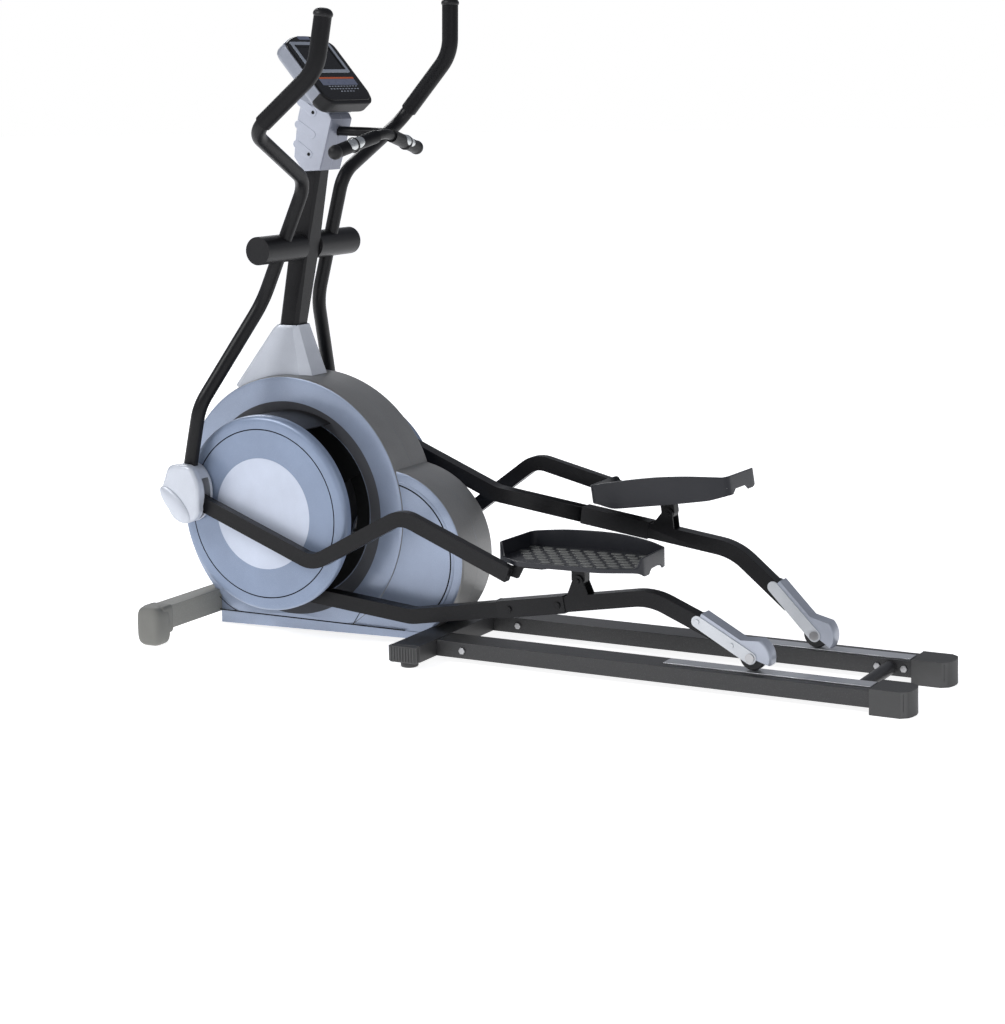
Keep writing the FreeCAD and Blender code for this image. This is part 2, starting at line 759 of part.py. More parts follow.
def brake():
    """The magnet bracket: a curved arm beside the flywheel's rim on a pin of its own."""
    pin = V(number("flywheel_x-flywheel_radius-14"), 0, number("flywheel_height-82"))
    hub = V(size("flywheel_x"), 0, size("flywheel_height"))
    inner = number("flywheel_radius+magnet_gap+6")
    start, end = 112.0, 196.0
    width = size("flywheel_width")

    def arc_point(radius, degrees):
        return hub + turned_by(V(radius, 0, 0), degrees)

    middle = (start + end) / 2
    edges = [
        Part.Arc(arc_point(inner, start), arc_point(inner, middle), arc_point(inner, end)).toShape(),
        Part.LineSegment(arc_point(inner, end), arc_point(inner + 4, end)).toShape(),
        Part.Arc(arc_point(inner + 4, end), arc_point(inner + 4, middle), arc_point(inner + 4, start)).toShape(),
        Part.LineSegment(arc_point(inner + 4, start), arc_point(inner, start)).toShape(),
    ]
    band = Part.Face(Part.Wire(edges)).extrude(V(0, width, 0))
    band.translate(V(0, -width / 2, 0))
    tail = arc_point(inner + 2, end - 2)
    side = (pin - tail).normalize().cross(V(0, 1, 0)) * 7
    ear = Part.Face(Part.makePolygon([tail + side, pin + side, pin - side, tail - side, tail + side]))
    ears = []
    for low in (5 + size("seat_gap"), -9 - size("seat_gap")):
        plate_ear = ear.extrude(V(0, 4, 0))
        eye = Part.makeCylinder(10, 4, pin, V(0, 1, 0))
        both = plate_ear.fuse(eye)
        both.translate(V(0, low, 0))
        ears.append(both)
    pin_rod = Part.makeCylinder(5, 26, pin + V(0, -13, 0), V(0, 1, 0))
    bracket = band.fuse(ears + [pin_rod]).removeSplitter()
    magnets = []
    for degrees in (130, 150, 170):
        block = Part.makeBox(6, width - 6, 24, V(-3, -(width - 6) / 2, -12))
        block.Placement = FreeCAD.Placement(arc_point(inner - 3, degrees),
                                            FreeCAD.Rotation(V(0, -1, 0), degrees)).multiply(block.Placement)
        magnets.append(shaped("magnet_%d" % degrees, block.cut(bracket)))
    node("brake_magnet_bracket", shaped("magnet_bracket", bracket), *magnets)


# ---------------------------------------------------------------------------
# Housing and crank covers
# ---------------------------------------------------------------------------

def drum_profile(side):
    """Half drum: rim, ring face, cone into the well, lip and floor, as radius and Y."""
    w = "plastic_wall"
    face = "housing_half_width"
    floor = "housing_half_width-well_depth"
    points = [
        ("drum_radius", "0.2"), ("drum_radius", face + "-edge_round"),
        ("drum_radius-edge_round*0.3", face + "-edge_round*0.3"), ("drum_radius-edge_round", face),
        ("ring_inner", face), ("well_lip_radius+3", floor), ("well_lip_radius+3", floor + "+6"),
        ("well_lip_radius", floor + "+6"), ("well_lip_radius", floor), ("30", floor),
        ("30", floor + "-" + w), ("well_lip_radius+3", floor + "-" + w), ("ring_inner", face + "-" + w),
        ("drum_radius-edge_round", face + "-" + w), ("drum_radius-" + w, face + "-edge_round"),
        ("drum_radius-" + w, "0.2"),
    ]
    return [(r, "%d*(%s)" % (side, y)) for r, y in points]


def lobe_profile(side):
    w = "plastic_wall"
    face = "lobe_half_width"
    points = [
        ("lobe_radius", "0.2"), ("lobe_radius", face + "-edge_round"),
        ("lobe_radius-edge_round*0.3", face + "-edge_round*0.3"), ("lobe_radius-edge_round", face),
        ("0", face), ("0", face + "-" + w), ("lobe_radius-edge_round", face + "-" + w),
        ("lobe_radius-" + w, face + "-edge_round"), ("lobe_radius-" + w, "0.2"),
    ]
    return [(r, "%d*(%s)" % (side, y)) for r, y in points]


def housing():
    w = "plastic_wall"
    for word, side in SIDES.items():
        tag = "_" + word
        everything = pin_between(side, "-1", "housing_half_width+50")
        inside = pin_between(side, "-1", "lobe_half_width-plastic_wall")
        drum = turned("drum" + tag, drum_profile(side), "drum_x", "drum_height")
        lobe = turned("lobe" + tag, lobe_profile(side), "flywheel_x", "flywheel_height")
        lobe_hollow = rod("lobe_hollow" + tag, "lobe_radius-" + w, inside, "flywheel_x", "flywheel_height")
        drum_bulk = rod("drum_bulk" + tag, "drum_radius-%s" % w, everything, "drum_x", "drum_height")
        drum_cut = less("drum_open" + tag, drum, lobe_hollow)
        lobe_cut = less("lobe_open" + tag, lobe, drum_bulk)
        y_out = pin_between(side, "0.2", "pan_half_width")
        y_in = pin_between(side, "-1", "pan_half_width-" + w)
        pan = less("pan" + tag,
                   box("pan_outside" + tag, ("pan_front", "pan_rear"), y_out, ("base_top", "pan_top")),
                   box("pan_inside" + tag, ("pan_front+" + w, "pan_rear-" + w), y_in,
                       ("base_top-1", "pan_top-" + w)),
                   rod("pan_drum" + tag, "drum_radius-0.5", everything, "drum_x", "drum_height"),
                   rod("pan_lobe" + tag, "lobe_radius-0.5", everything, "flywheel_x", "flywheel_height"))
        shell = joined("shell" + tag, drum_cut, lobe_cut, pan)
        under = box("shell_under" + tag, ("-600", "800"), ("-150", "150"), ("-60", "base_top"))
        lean = "tan(mast_lean)"
        throat = box("shell_throat" + tag,
                     ("-(pivot_height-post_top)*%s-40" % lean, "-(pivot_height-post_top)*%s+54" % lean),
                     ("-mast_width/2-4", "mast_width/2+4"), ("post_top+flange_thickness+10", "drum_height+drum_radius+10"))
        spine = box("shell_spine" + tag, ("front_rear_face-5", "mid_rear"),
                    ("-spine_width/2-seat_gap", "spine_width/2+seat_gap"),
                    ("0", "spine_bottom+spine_height+10"))
        front = box("shell_front" + tag, ("front_rear_face-front_depth-seat_gap", "front_rear_face+seat_gap"),
                    ("-150", "150"), ("0", "front_bottom+front_height+seat_gap"))
        middle = box("shell_middle" + tag, ("mid_rear-mid_depth-seat_gap", "mid_rear+seat_gap"),
                     ("-150", "150"), ("0", "rail_bottom+mid_height+seat_gap"))
        node("housing_%s_shell" % word, less("housing" + tag, shell, under, throat, spine, front, middle))


def drum_bulk():
    """Everything that lies within a gap of the right half drum's outer face, as one solid."""
    gap = size("seat_gap")
    face = size("housing_half_width") + gap
    floor = face - size("well_depth")
    lip = size("well_lip_radius")
    profile = [(0, 0), (size("drum_radius"), 0), (size("drum_radius"), face), (size("ring_inner"), face),
               (lip + 3 + gap, floor), (lip + 3 + gap, floor + 6), (lip - gap, floor + 6), (lip - gap, floor),
               (0, floor)]
    half = Part.Face(Part.makePolygon([V(x, y, 0) for x, y in profile + profile[:1]]))
    bulk = half.revolve(V(), V(0, 1, 0), 360)
    bulk.translate(V(size("drum_x"), 0, size("drum_height")))
    return bulk


def crank_covers():
    shrouds = []
    for word, side in SIDES.items():
        face = "cover_face"
        back = "cover_face-cover_depth"
        points = [
            ("0", face), ("cover_badge_radius", face), ("cover_badge_radius", face + "-1"),
            ("cover_groove_radius-2", face + "-1"), ("cover_groove_radius-2", face + "-3"),
            ("cover_groove_radius", face + "-3"), ("cover_groove_radius", face + "-1"),
            ("cover_radius-14", face + "-1"), ("cover_radius-4", face + "-6"), ("cover_radius", face + "-14"),
            ("cover_radius", back), ("cover_radius-3", back), ("cover_radius-3", face + "-13"),
            ("cover_radius-12", face + "-5"), ("0", face + "-4"),
        ]
        cover = turned("cover_turned_" + word, [(r, "%d*(%s)" % (side, y)) for r, y in points],
                       "0", "crank_height")
        node("%s_crank_cover" % word, cover)
        low = number("housing_half_width-well_depth+seat_gap")
        high = number("cover_face-cover_depth+shroud_overlap")
        radius = number("cover_radius-plastic_wall-seat_gap")
        ring = Part.makeCylinder(radius, high - low, V(0, low, size("crank_height")), V(0, 1, 0))
        hole = Part.makeCylinder(radius - size("plastic_wall"), 200, V(0, low - 10, size("crank_height")),
                                 V(0, 1, 0))
        far = 2 * size("cover_radius")
        start, end = size("shroud_start"), size("shroud_end")
        fan = [V(0, low - 5, size("crank_height"))]
        for k in range(5):
            fan.append(fan[0] + turned_by(V(far, 0, 0), start + (end - start) * k / 4))
        keep = Part.Face(Part.makePolygon(fan + fan[:1])).extrude(V(0, high, 0))
        wall = ring.cut(hole).common(keep).cut(drum_bulk())
        if side == LEFT:
            wall = wall.mirror(V(), V(0, 1, 0))
        shrouds.append(shaped("shroud_" + word, wall))
    node("crank_shrouds", *shrouds)


def base_covers():
    covers = []
    for word, side in SIDES.items():
        front, rear = "front_rear_face+seat_gap", "mid_rear-mid_depth-seat_gap"
        points = [(front, "base_cover_low_front"), (rear, "base_cover_low_rear"),
                  (rear, "base_top-seat_gap"), (front, "base_top-seat_gap")]
        covers.append(plate("base_cover_" + word, points, "plastic_wall",
                            "%d*(pan_half_width+seat_gap+plastic_wall/2)" % side))
    node("base_covers", *covers)


# ---------------------------------------------------------------------------
# Mast, boot and column covers
# ---------------------------------------------------------------------------

def mast_x(z):
    """The mast's centre line at a height."""
    return -(size("pivot_height") - z) * math.tan(math.radians(size("mast_lean")))


def bevelled_square(x, half_x, half_y, bevel, z):
    """A level square with its corners cut off."""
    corners = []
    for sx, sy in ((1, 1), (-1, 1), (-1, -1), (1, -1)):
        first = V(x + sx * half_x, sy * (half_y - bevel), z)
        second = V(x + sx * (half_x - bevel), sy * half_y, z)
        corners += [first, second] if sx * sy > 0 else [second, first]
    return Part.makePolygon(corners + corners[:1])


def mast_skin(inset):
    """The mast's faceted column, or its bore where an inset is given."""
    half = size("mast_width") / 2 - inset
    hub = size("pivot_height")
    stations = [(number("post_top+flange_thickness"), 15), (hub - 20, 4), (hub + 20, 4), (number("pivot_height+mast_above_pivot"), 15)]
    rings = [bevelled_square(mast_x(z), half, half, bevel, z) for z, bevel in stations]
    return Part.makeLoft(rings, True, True)


def mast():
    bottom = number("post_top+flange_thickness")
    hub = size("pivot_height")
    reach = size("flange_width") / 2
    middle = mast_x(size("post_top"))
    flange = Part.makeBox(2 * reach, 2 * reach, size("flange_thickness"), V(middle - reach, -reach, bottom))
    bore = mast_skin(size("tube_wall"))
    column = mast_skin(0).fuse(flange).cut(bore)
    hole = Part.makeCylinder(size("pivot_shaft_radius") + size("running_gap"), 200, V(0, -100, hub), V(0, 1, 0))
    node("mast", shaped("mast_column", column.cut(hole)))
    node("pivot_shaft", rod("shaft", "pivot_shaft_radius", ("-hub_half_length+12", "hub_half_length-12"),
                            "0", "pivot_height"))


def boot():
    wall = size("plastic_wall")
    gap = size("seat_gap")
    low, high = size("boot_bottom"), size("boot_top")
    low_x = mast_x(low) - 4

    def skin(inset):
        base = bevelled_square(low_x, 128 - inset, 64 - inset, 28, low)
        waist_z = low + (high - low) * 0.93
        waist = bevelled_square(mast_x(waist_z) - 3, 42 - inset, 40 - inset, 14, waist_z)
        top = bevelled_square(mast_x(high), size("mast_width") / 2 + 6 - inset,
                              size("mast_width") / 2 + 6 - inset, 13, high)
        return Part.makeLoft([base, waist, top], True, True)

    shell = skin(0).cut(skin(wall))
    drum = Part.makeCylinder(size("drum_radius") + gap, 400, V(size("drum_x"), -200, size("drum_height")),
                             V(0, 1, 0))
    half = size("mast_width") / 2 + gap
    neck = Part.makeLoft([Part.makePolygon(rectangle((mast_x(z) - half, mast_x(z) + half), (-half, half), z)
                                           + rectangle((mast_x(z) - half, mast_x(z) + half), (-half, half), z)[:1])
                          for z in (low - 50, high + 50)], True, True)
    node("mast_boot", shaped("boot_shell", shell.cut(drum).cut(neck)))


# Outlines of the column covers and the console's neck, as X and the height over the handlebars' pivot.
COLUMN_PROFILE = [(6, 231), (32, 194), (86, 196), (104, 250), (127, 326), (120, 340), (36, 377), (22, 334),
                  (14, 288)]
NECK_PROFILE = [(37, 377.6), (119, 341.4), (127, 348), (46, 450), (22, 424)]


def over_pivot(profile):
    """A profile's corners in the middle plane."""
    return [V(x, 0, z + size("pivot_height")) for x, z in profile]


def column_covers():
    wall = size("plastic_wall")
    corners = over_pivot(COLUMN_PROFILE)
    side_width = 48
    outer_wire = Part.makePolygon(corners + corners[:1])
    inner_wire = outer_wire.makeOffset2D(-wall)
    for word, side in SIDES.items():
        block = Part.Face(outer_wire).extrude(V(0, side_width, 0))
        long_edges = [e for e in block.Edges if abs(e.Vertexes[0].Y - side_width) < 0.01
                      and abs(e.Vertexes[-1].Y - side_width) < 0.01]
        block = block.makeFillet(5, long_edges)
        hollow = Part.Face(inner_wire).extrude(V(0, side_width - wall, 0))
        half = block.cut(hollow)
        gap = size("seat_gap")
        reach = size("mast_width") / 2 + gap
        neck = Part.makeLoft([Part.makePolygon([V(mast_x(z) + sx * reach, sy * reach, z) for sx, sy in
                                                ((-1, -1), (1, -1), (1, 1), (-1, 1), (-1, -1))])
                              for z in (size("post_top"), number("pivot_height+mast_above_pivot") + 10)], True, True)
        half = half.cut([neck, stem_clearance()])
        half.translate(V(0, 0.1, 0))
        if side == LEFT:
            half = half.mirror(V(), V(0, 1, 0))
        node("column_cover_" + word, shaped("column_half_" + word, half))


# ---------------------------------------------------------------------------
# Console
# ---------------------------------------------------------------------------

def console_frame():
    """The console's own frame: X down its face, Y across it, Z out of it, from its top edge."""
    tilt = size("console_tilt")
    place = V(size("console_top_x"), 0, number("pivot_height+console_above_pivot"))
    return FreeCAD.Placement(place, FreeCAD.Rotation(V(0, 1, 0), tilt))


def console_rounded(length, width, depth, radius, start, top):
    """A block of the console with its four corners rounded, below a height over the face."""
    block = Part.makeBox(length, width, depth, V(start, -width / 2, top - depth))
    upright = [e for e in block.Edges if abs(e.Vertexes[0].Z - e.Vertexes[-1].Z) > depth / 2]
    return block.makeFillet(radius, upright)


def softened_back(block, radius):
    """Round the edges of a console block's back face."""
    low = block.BoundBox.ZMin + 0.01
    return block.makeFillet(radius, [e for e in block.Edges if e.BoundBox.ZMax < low])


def neck_block(half_width, inset):
    """The neck between the column covers and the console's back."""
    wire = Part.makePolygon(over_pivot(NECK_PROFILE + NECK_PROFILE[:1]))
    if inset:
        wire = wire.makeOffset2D(-inset)
    block = Part.Face(wire).extrude(V(0, 2 * half_width, 0))
    block.translate(V(0, -half_width, 0))
    return block


def console():
    length, width, depth = size("console_length"), size("console_width"), size("console_depth")
    frame = console_frame()
    wall = size("plastic_wall")

    def placed(name, shape):
        shape.Placement = frame.multiply(shape.Placement)
        return shaped(name, shape)

    shell = softened_back(console_rounded(length, width, depth - 5, 34, 0, -5), 14)
    inside = console_rounded(length - 2 * wall, width - 2 * wall, depth - 5 - wall, 34 - wall, wall, -5)
    inside = softened_back(inside, 14 - wall)
    shell.Placement = frame
    inside.Placement = frame
    neck = neck_block(52, 0)
    shell = shell.fuse(neck).cut([inside, neck_block(52 - wall, wall)]).removeSplitter()
    node("console_back_shell", shaped("console_back", shell))
    board = Part.makeBox(150, 150, 1.6, V(28, -75, -depth + wall + 6))
    feet = [Part.makeCylinder(4, 6, V(x, y, -depth + wall)) for x in (36, 170) for y in (-66, 66)]
    node("console_board", placed("board", board.fuse(feet)))
    face = console_rounded(length - 6, width - 6, 5 - 0.2, 31, 3, 0)
    bezel_length, bezel_width = 104, 178
    window = console_rounded(bezel_length, bezel_width, 20, 6, 9, 10)
    face = face.cut(window)
    keys_at = [-36, 0, 36]
    key_x = 146
    half = size("key_width") / 2
    for y in keys_at:
        face = face.cut(Part.makeBox(10 + 1, 2 * half + 1, 20, V(key_x - 5.5, y - half - 0.5, -10)))
    node("console_face", placed("face", face))
    bezel = console_rounded(bezel_length - 0.4, bezel_width - 0.4, 5, 5.8, 9.2, 1)
    bezel = bezel.cut(console_rounded(bezel_length - 22, bezel_width - 26, 20, 4, 20, 10))
    node("lcd_bezel", placed("bezel", bezel))
    glass = console_rounded(bezel_length - 22.4, bezel_width - 26.4, 3, 3.8, 20.2, -1)
    node("lcd_screen", placed("screen", glass))
    for index, y in enumerate(keys_at, start=1):
        key = Part.makeBox(10, 2 * half, 2.5 + size("key_travel"), V(key_x - 5, y - half, -2.5))
        node("console_key_%d" % index, placed("key_%d" % index, key))


# ---------------------------------------------------------------------------
# Fixed handlebar
# ---------------------------------------------------------------------------

def fixed_bar_points():
    x, z = size("grip_bar_x"), number("pivot_height+grip_bar_above_pivot")
    span, drop, sweep = size("grip_bar_half_span"), size("grip_bar_drop"), size("grip_bar_sweep")
    end_l, end_r = V(x - sweep, -span, z - drop), V(x - sweep, span, z - drop)
    return end_l, V(x, 0, z), end_r


STEM_RADIUS = 12


def stem_root():
    """A point on the mast's centre line where the stem of the fixed handlebar starts."""
    height = number("pivot_height+grip_bar_above_pivot") + 8
    return V(mast_x(height), 0, height)


def stem_clearance():
    """The room that the column covers leave for the stem."""
    _, middle, _ = fixed_bar_points()
    root = stem_root()
    return Part.makeCylinder(STEM_RADIUS + size("seat_gap"), (middle - root).Length, root, middle - root)


def fixed_handlebar():
    end_l, middle, end_r = fixed_bar_points()
    radius = size("grip_bar_radius")
    path = bent_path([end_l, middle, end_r], [120])
    bar = round_tube(path, radius, size("tube_wall"))
    crown = middle - V(4, 0, 0)
    root = stem_root()
    stem = Part.makeCylinder(STEM_RADIUS, (crown - root).Length, root, crown - root)
    stem = stem.cut([swept(path, round_section(path, radius - 1)), mast_skin(0)])
    node("fixed_handlebar", shaped("fixed_bar", bar.fuse(stem).removeSplitter()))
    grips = []
    plates = []
    for word, end in (("left", end_l), ("right", end_r)):
        inward = (middle - end).normalize()
        start = end + inward * 4
        grip = Part.makeCylinder(radius + 4, 128, start, inward)
        grip = grip.cut(Part.makeCylinder(radius + 0.2, 300, start - inward * 5, inward))
        knob = Part.makeSphere(radius + 4, end)
        knob = knob.cut(Part.makeCylinder(60, 60, end, inward))
        slots = []
        for k, start_at in enumerate((38, 74)):
            tube_low = start + inward * start_at
            half = Part.makeCylinder(radius + 5, 32, tube_low, inward)
            inner = Part.makeCylinder(radius + 2.5, 32, tube_low, inward)
            up = V(0, 0, 1)
            keep = Part.makeBox(200, 200, 40, V(tube_low.x - 100, tube_low.y - 100, tube_low.z - 2))
            keep.Placement = FreeCAD.Placement(V(0, 0, 2), FreeCAD.Rotation()).multiply(keep.Placement)
            slots.append((half.cut(inner)).common(keep))
        for k, slot in enumerate(slots):
            plate_shape = slot
            plates.append(shaped("pulse_%s_%d" % (word, k), plate_shape))
            grip = grip.cut(slot)
        grips += [shaped("grip_" + word, grip), shaped("knob_" + word, knob)]
    node("fixed_handlebar_grips", *grips)
    node("pulse_plates", *plates)


# ---------------------------------------------------------------------------
# Moving handlebars
# ---------------------------------------------------------------------------

# Bends of the handlebar tube about its pivot, as X, the share of its spread, and Z.
HANDLE_TOP = (333.6, 577.7)
HANDLE_SHOULDER = (306.8, 444.6)
HANDLE_ELBOW = (121.7, 300.2)
HANDLE_NECK = (83.7, 171.2)
HANDLE_WAIST = (-62.2, -139.4)
# The lowest bend, about the joint with the link arm.
HANDLE_SHIN = (52.4, 228.9)


def handle_points(side):
    near = side * size("handle_offset")
    low = side * size("handle_low_offset")
    wide = side * size("handle_spread")
    knee = knee_rest()
    shin = knee + V(HANDLE_SHIN[0], 0, HANDLE_SHIN[1])
    end = knee + (shin - knee).normalize() * 40
    return [V(HANDLE_TOP[0], wide, HANDLE_TOP[1]), V(HANDLE_SHOULDER[0], wide, HANDLE_SHOULDER[1]),
            V(HANDLE_ELBOW[0], wide, HANDLE_ELBOW[1]), V(HANDLE_NECK[0], near, HANDLE_NECK[1]),
            V(HANDLE_WAIST[0], near, HANDLE_WAIST[1]), V(shin.x, low, shin.z),
            V(end.x, low, end.z)]


HANDLE_BENDS = [110, 62, 70, 170, 130]


def handlebars():
    radius = size("handle_tube_radius")
    for word, side in SIDES.items():
        pose = POSES[word]
        stand = standing(pose["pivot"], pose["handle_angle"])
        points = handle_points(side)
        path = bent_path(points, HANDLE_BENDS)
        tube = round_tube(path, radius, size("tube_wall"))
        inner, outer = number("mast_width/2+hub_gap"), size("hub_half_length") - size("hub_cap")
        sleeve = Part.makeCylinder(size("hub_radius"), outer - inner, V(0, inner, 0), V(0, 1, 0))
        bush = 18
        hollow = Part.makeCylinder(number("hub_radius-tube_wall"), outer - inner - 2 * bush,
                                   V(0, inner + bush, 0), V(0, 1, 0))
        sleeve = sleeve.cut(hollow)
        bore = Part.makeCylinder(number("pivot_shaft_radius+running_gap"), 400, V(0, inner - 50, 0), V(0, 1, 0))
        cap = Part.makeCylinder(size("hub_radius"), size("hub_cap"), V(0, outer, 0), V(0, 1, 0))
        if side == LEFT:
            sleeve, cap, hollow, bore = (s.mirror(V(), V(0, 1, 0)) for s in (sleeve, cap, hollow, bore))
        knee = knee_rest()
        along = V(HANDLE_SHIN[0], 0, HANDLE_SHIN[1]).normalize()
        fork = fork_shape(side, knee, along)
        bar = tube.cut(hollow).fuse([sleeve, fork]).cut(bore).removeSplitter()
        node(word + "_handlebar", shaped(word + "_bar", bar), shaped(word + "_hub_cap", cap), placement=stand)
        grip_path = bent_path([points[0] - (points[0] - points[1]).normalize() * 14, points[1],
                               points[2] + (points[1] - points[2]).normalize() * 42], HANDLE_BENDS[:1])
        foam_radius = radius + size("soft_gap") + size("foam_thickness")
        foam = swept(grip_path, round_section(grip_path, foam_radius))
        foam = foam.cut(swept(grip_path, round_section(grip_path, radius + size("soft_gap"))))
        top = points[0]
        up = (points[0] - points[1]).normalize()
        end_cap = Part.makeCone(foam_radius + 2, foam_radius - 4, 14, top + up * size("seat_gap"), up)
        collar = Part.makeCone(foam_radius, foam_radius + 2, 10, top - up * (14 - 2 * size("soft_gap")), up)
        collar = collar.cut(Part.makeCylinder(radius + size("soft_gap"), 60, top - up * 30, up))
        node(word + "_grip", shaped(word + "_foam", foam), shaped(word + "_collar", collar),
             shaped(word + "_end_cap", end_cap), placement=stand)
        node(word + "_joint_cover", shaped(word + "_cover_shell", joint_cover_shape(side, knee, along)),
             placement=stand)


def fork_shape(side, knee, along):
    """Two plates with rounded ends round the link arm's eye, and the bridge that carries them."""
    plates = []
    half_gap = size("link_width") / 2 + 1
    thick = size("fork_plate")
    across = along.cross(V(0, 1, 0)) * 16
    centre = side * size("handle_low_offset")
    far = knee + along * 52
    for y in (centre - half_gap - thick, centre + half_gap):
        strip = Part.Face(Part.makePolygon([knee + across, far + across, far - across, knee - across,
                                            knee + across])).extrude(V(0, thick, 0))
        round_end = Part.makeCylinder(16, thick, knee, V(0, 1, 0))
        plate_shape = strip.fuse(round_end)
        plate_shape.translate(V(0, y, 0))
        plates.append(plate_shape)
    near_end = knee + along * 40
    bridge = Part.Face(Part.makePolygon([near_end + across, far + across, far - across, near_end - across,
                                         near_end + across])).extrude(V(0, 2 * (half_gap + thick), 0))
    bridge.translate(V(0, centre - half_gap - thick, 0))
    return plates[0].fuse([plates[1], bridge])


def joint_cover_shape(side, knee, along):
    """A hollow egg round the fork, open at the top for the tube and at the rear for the link."""
    wall = size("plastic_wall")
    low = number("cover_face+5")
    high = number("handle_low_offset+42")
    centre = knee + V(8, 0, 4)

    def egg(inset, y0, y1, rounding):
        ellipse = Part.Ellipse(V(0, 0, 0), 78 - inset, 60 - inset)
        solid = Part.Face(Part.Wire(ellipse.toShape())).extrude(V(0, 0, y1 - y0))
        solid.Placement = FreeCAD.Placement(V(), FreeCAD.Rotation(V(1, 0, 0), -90))
        tilt = FreeCAD.Rotation(V(0, -1, 0), heading_of(along) + 8)
        solid.Placement = FreeCAD.Placement(centre + V(0, y0, 0), tilt).multiply(solid.Placement)
        return solid.makeFillet(rounding, [e for e in solid.Edges if e.BoundBox.YMin > y1 - 0.1])

    shell = egg(0, low, high, 14).cut(egg(wall, low + 2, high - wall, 14 - wall))
    slot_low = number("handle_low_offset-link_width/2-1.5")
    slot_high = number("handle_low_offset+link_width/2+1.5")
    slot = Part.makeBox(160, slot_high - slot_low, 124, V(0, slot_low, -78))
    slot.Placement = FreeCAD.Placement(centre, FreeCAD.Rotation(V(0, -1, 0), -6)).multiply(slot.Placement)
    tube = Part.makeCylinder(number("handle_tube_radius+seat_gap"), 220,
                             knee + V(0, size("handle_low_offset"), 0) + along * 30, along)
    shell = shell.cut([slot, tube])
    if side == LEFT:
        shell = shell.mirror(V(), V(0, 1, 0))
    return shell


# ---------------------------------------------------------------------------
# Link arm and pedal
# ---------------------------------------------------------------------------

# Bends of the link arm about the pedal's hinge, as X and Z.
LINK_DIP = (-680.6, -91.6)
LINK_PEAK = (-440.2, 84.2)
LINK_END = (-133, 9)


def links():
    wall = size("tube_wall")
    width, height = size("link_width"), size("link_height")
    offset = size("handle_low_offset")
    for word, side in SIDES.items():
        pose = POSES[word]
        stand = standing(pose["pedal"], pose["link_angle"])
        y = side * offset
        eye = V(-size("link_length"), y, 0)
        start = eye + (V(LINK_DIP[0], y, LINK_DIP[1]) - eye).normalize() * (size("link_eye_radius") - 4)
        points = [start, V(LINK_DIP[0], y, LINK_DIP[1]), V(LINK_PEAK[0], y, LINK_PEAK[1]),
                  V(LINK_END[0], y, LINK_END[1])]
        path = bent_path(points, [70, 70])
        tube = square_tube(path, width, height, wall)
        boss = Part.makeCylinder(size("link_eye_radius"), width, eye - V(0, width / 2, 0), V(0, 1, 0))
        bolt_hole = Part.makeCylinder(6 + size("running_gap"), 60, eye - V(0, 30, 0), V(0, 1, 0))
        bolt = Part.makeCylinder(6, width + 1, eye - V(0, width / 2 + 0.5, 0), V(0, 1, 0))
        end_plate = square_tube(Part.Wire([Part.LineSegment(points[-1], points[-1] + (points[-1] - points[-2])
                                                            .normalize() * 3).toShape()]), width, height, 11)
        support = pedal_support(side)
        arm = tube.fuse([boss, end_plate, support]).cut(bolt_hole).removeSplitter()
        node(word + "_link_arm", shaped(word + "_link_tube", arm), shaped(word + "_link_bolt", bolt),
             placement=stand)
        node(word + "_pedal", shaped(word + "_tray", pedal_shape(side)), placement=stand)


def pedal_outline(inset):
    """The tray seen from above, as X and distance from the middle plane; its inner side bulges."""
    front, rear = size("pedal_front") + inset, size("pedal_rear") - inset
    inner, outer = size("pedal_inner") + inset, size("pedal_outer") - inset
    return [V(front, outer - 55, 0), V(front + 11, inner + 18, 0), V(front + 95, inner + 2, 0),
            V(rear - 145, inner, 0), V(rear - 55, inner + 12, 0), V(rear - 8, inner + 30, 0),
            V(rear, outer - 44, 0), V(rear - 95, outer - 6, 0), V(front + 79, outer, 0)]


def pedal_side():
    """The tray seen from the side: an arched rim above, a shallow keel below."""
    front, rear, rim = size("pedal_front"), size("pedal_rear"), size("pedal_rim_inner")
    keel, floor = size("pedal_bottom") - size("pedal_skirt"), size("pedal_bottom")
    low = [V(rear + 15, 0, rim - 18), V(rear + 15, 0, keel + 8), V(rear - 70, 0, keel),
           V(front + 110, 0, keel), V(front + 26, 0, keel + 7), V(front - 15, 0, floor + 6), V(front - 15, 0, rim - 11)]
    arch = Part.Arc(low[-1], V(0, 0, rim), V(rear - 40, 0, rim - 14)).toShape()
    edges = [Part.LineSegment(a, b).toShape() for a, b in zip(low, low[1:])]
    edges += [arch, Part.LineSegment(V(rear - 40, 0, rim - 14), low[0]).toShape()]
    return Part.Face(Part.Wire(edges)).extrude(V(0, 400, 0))


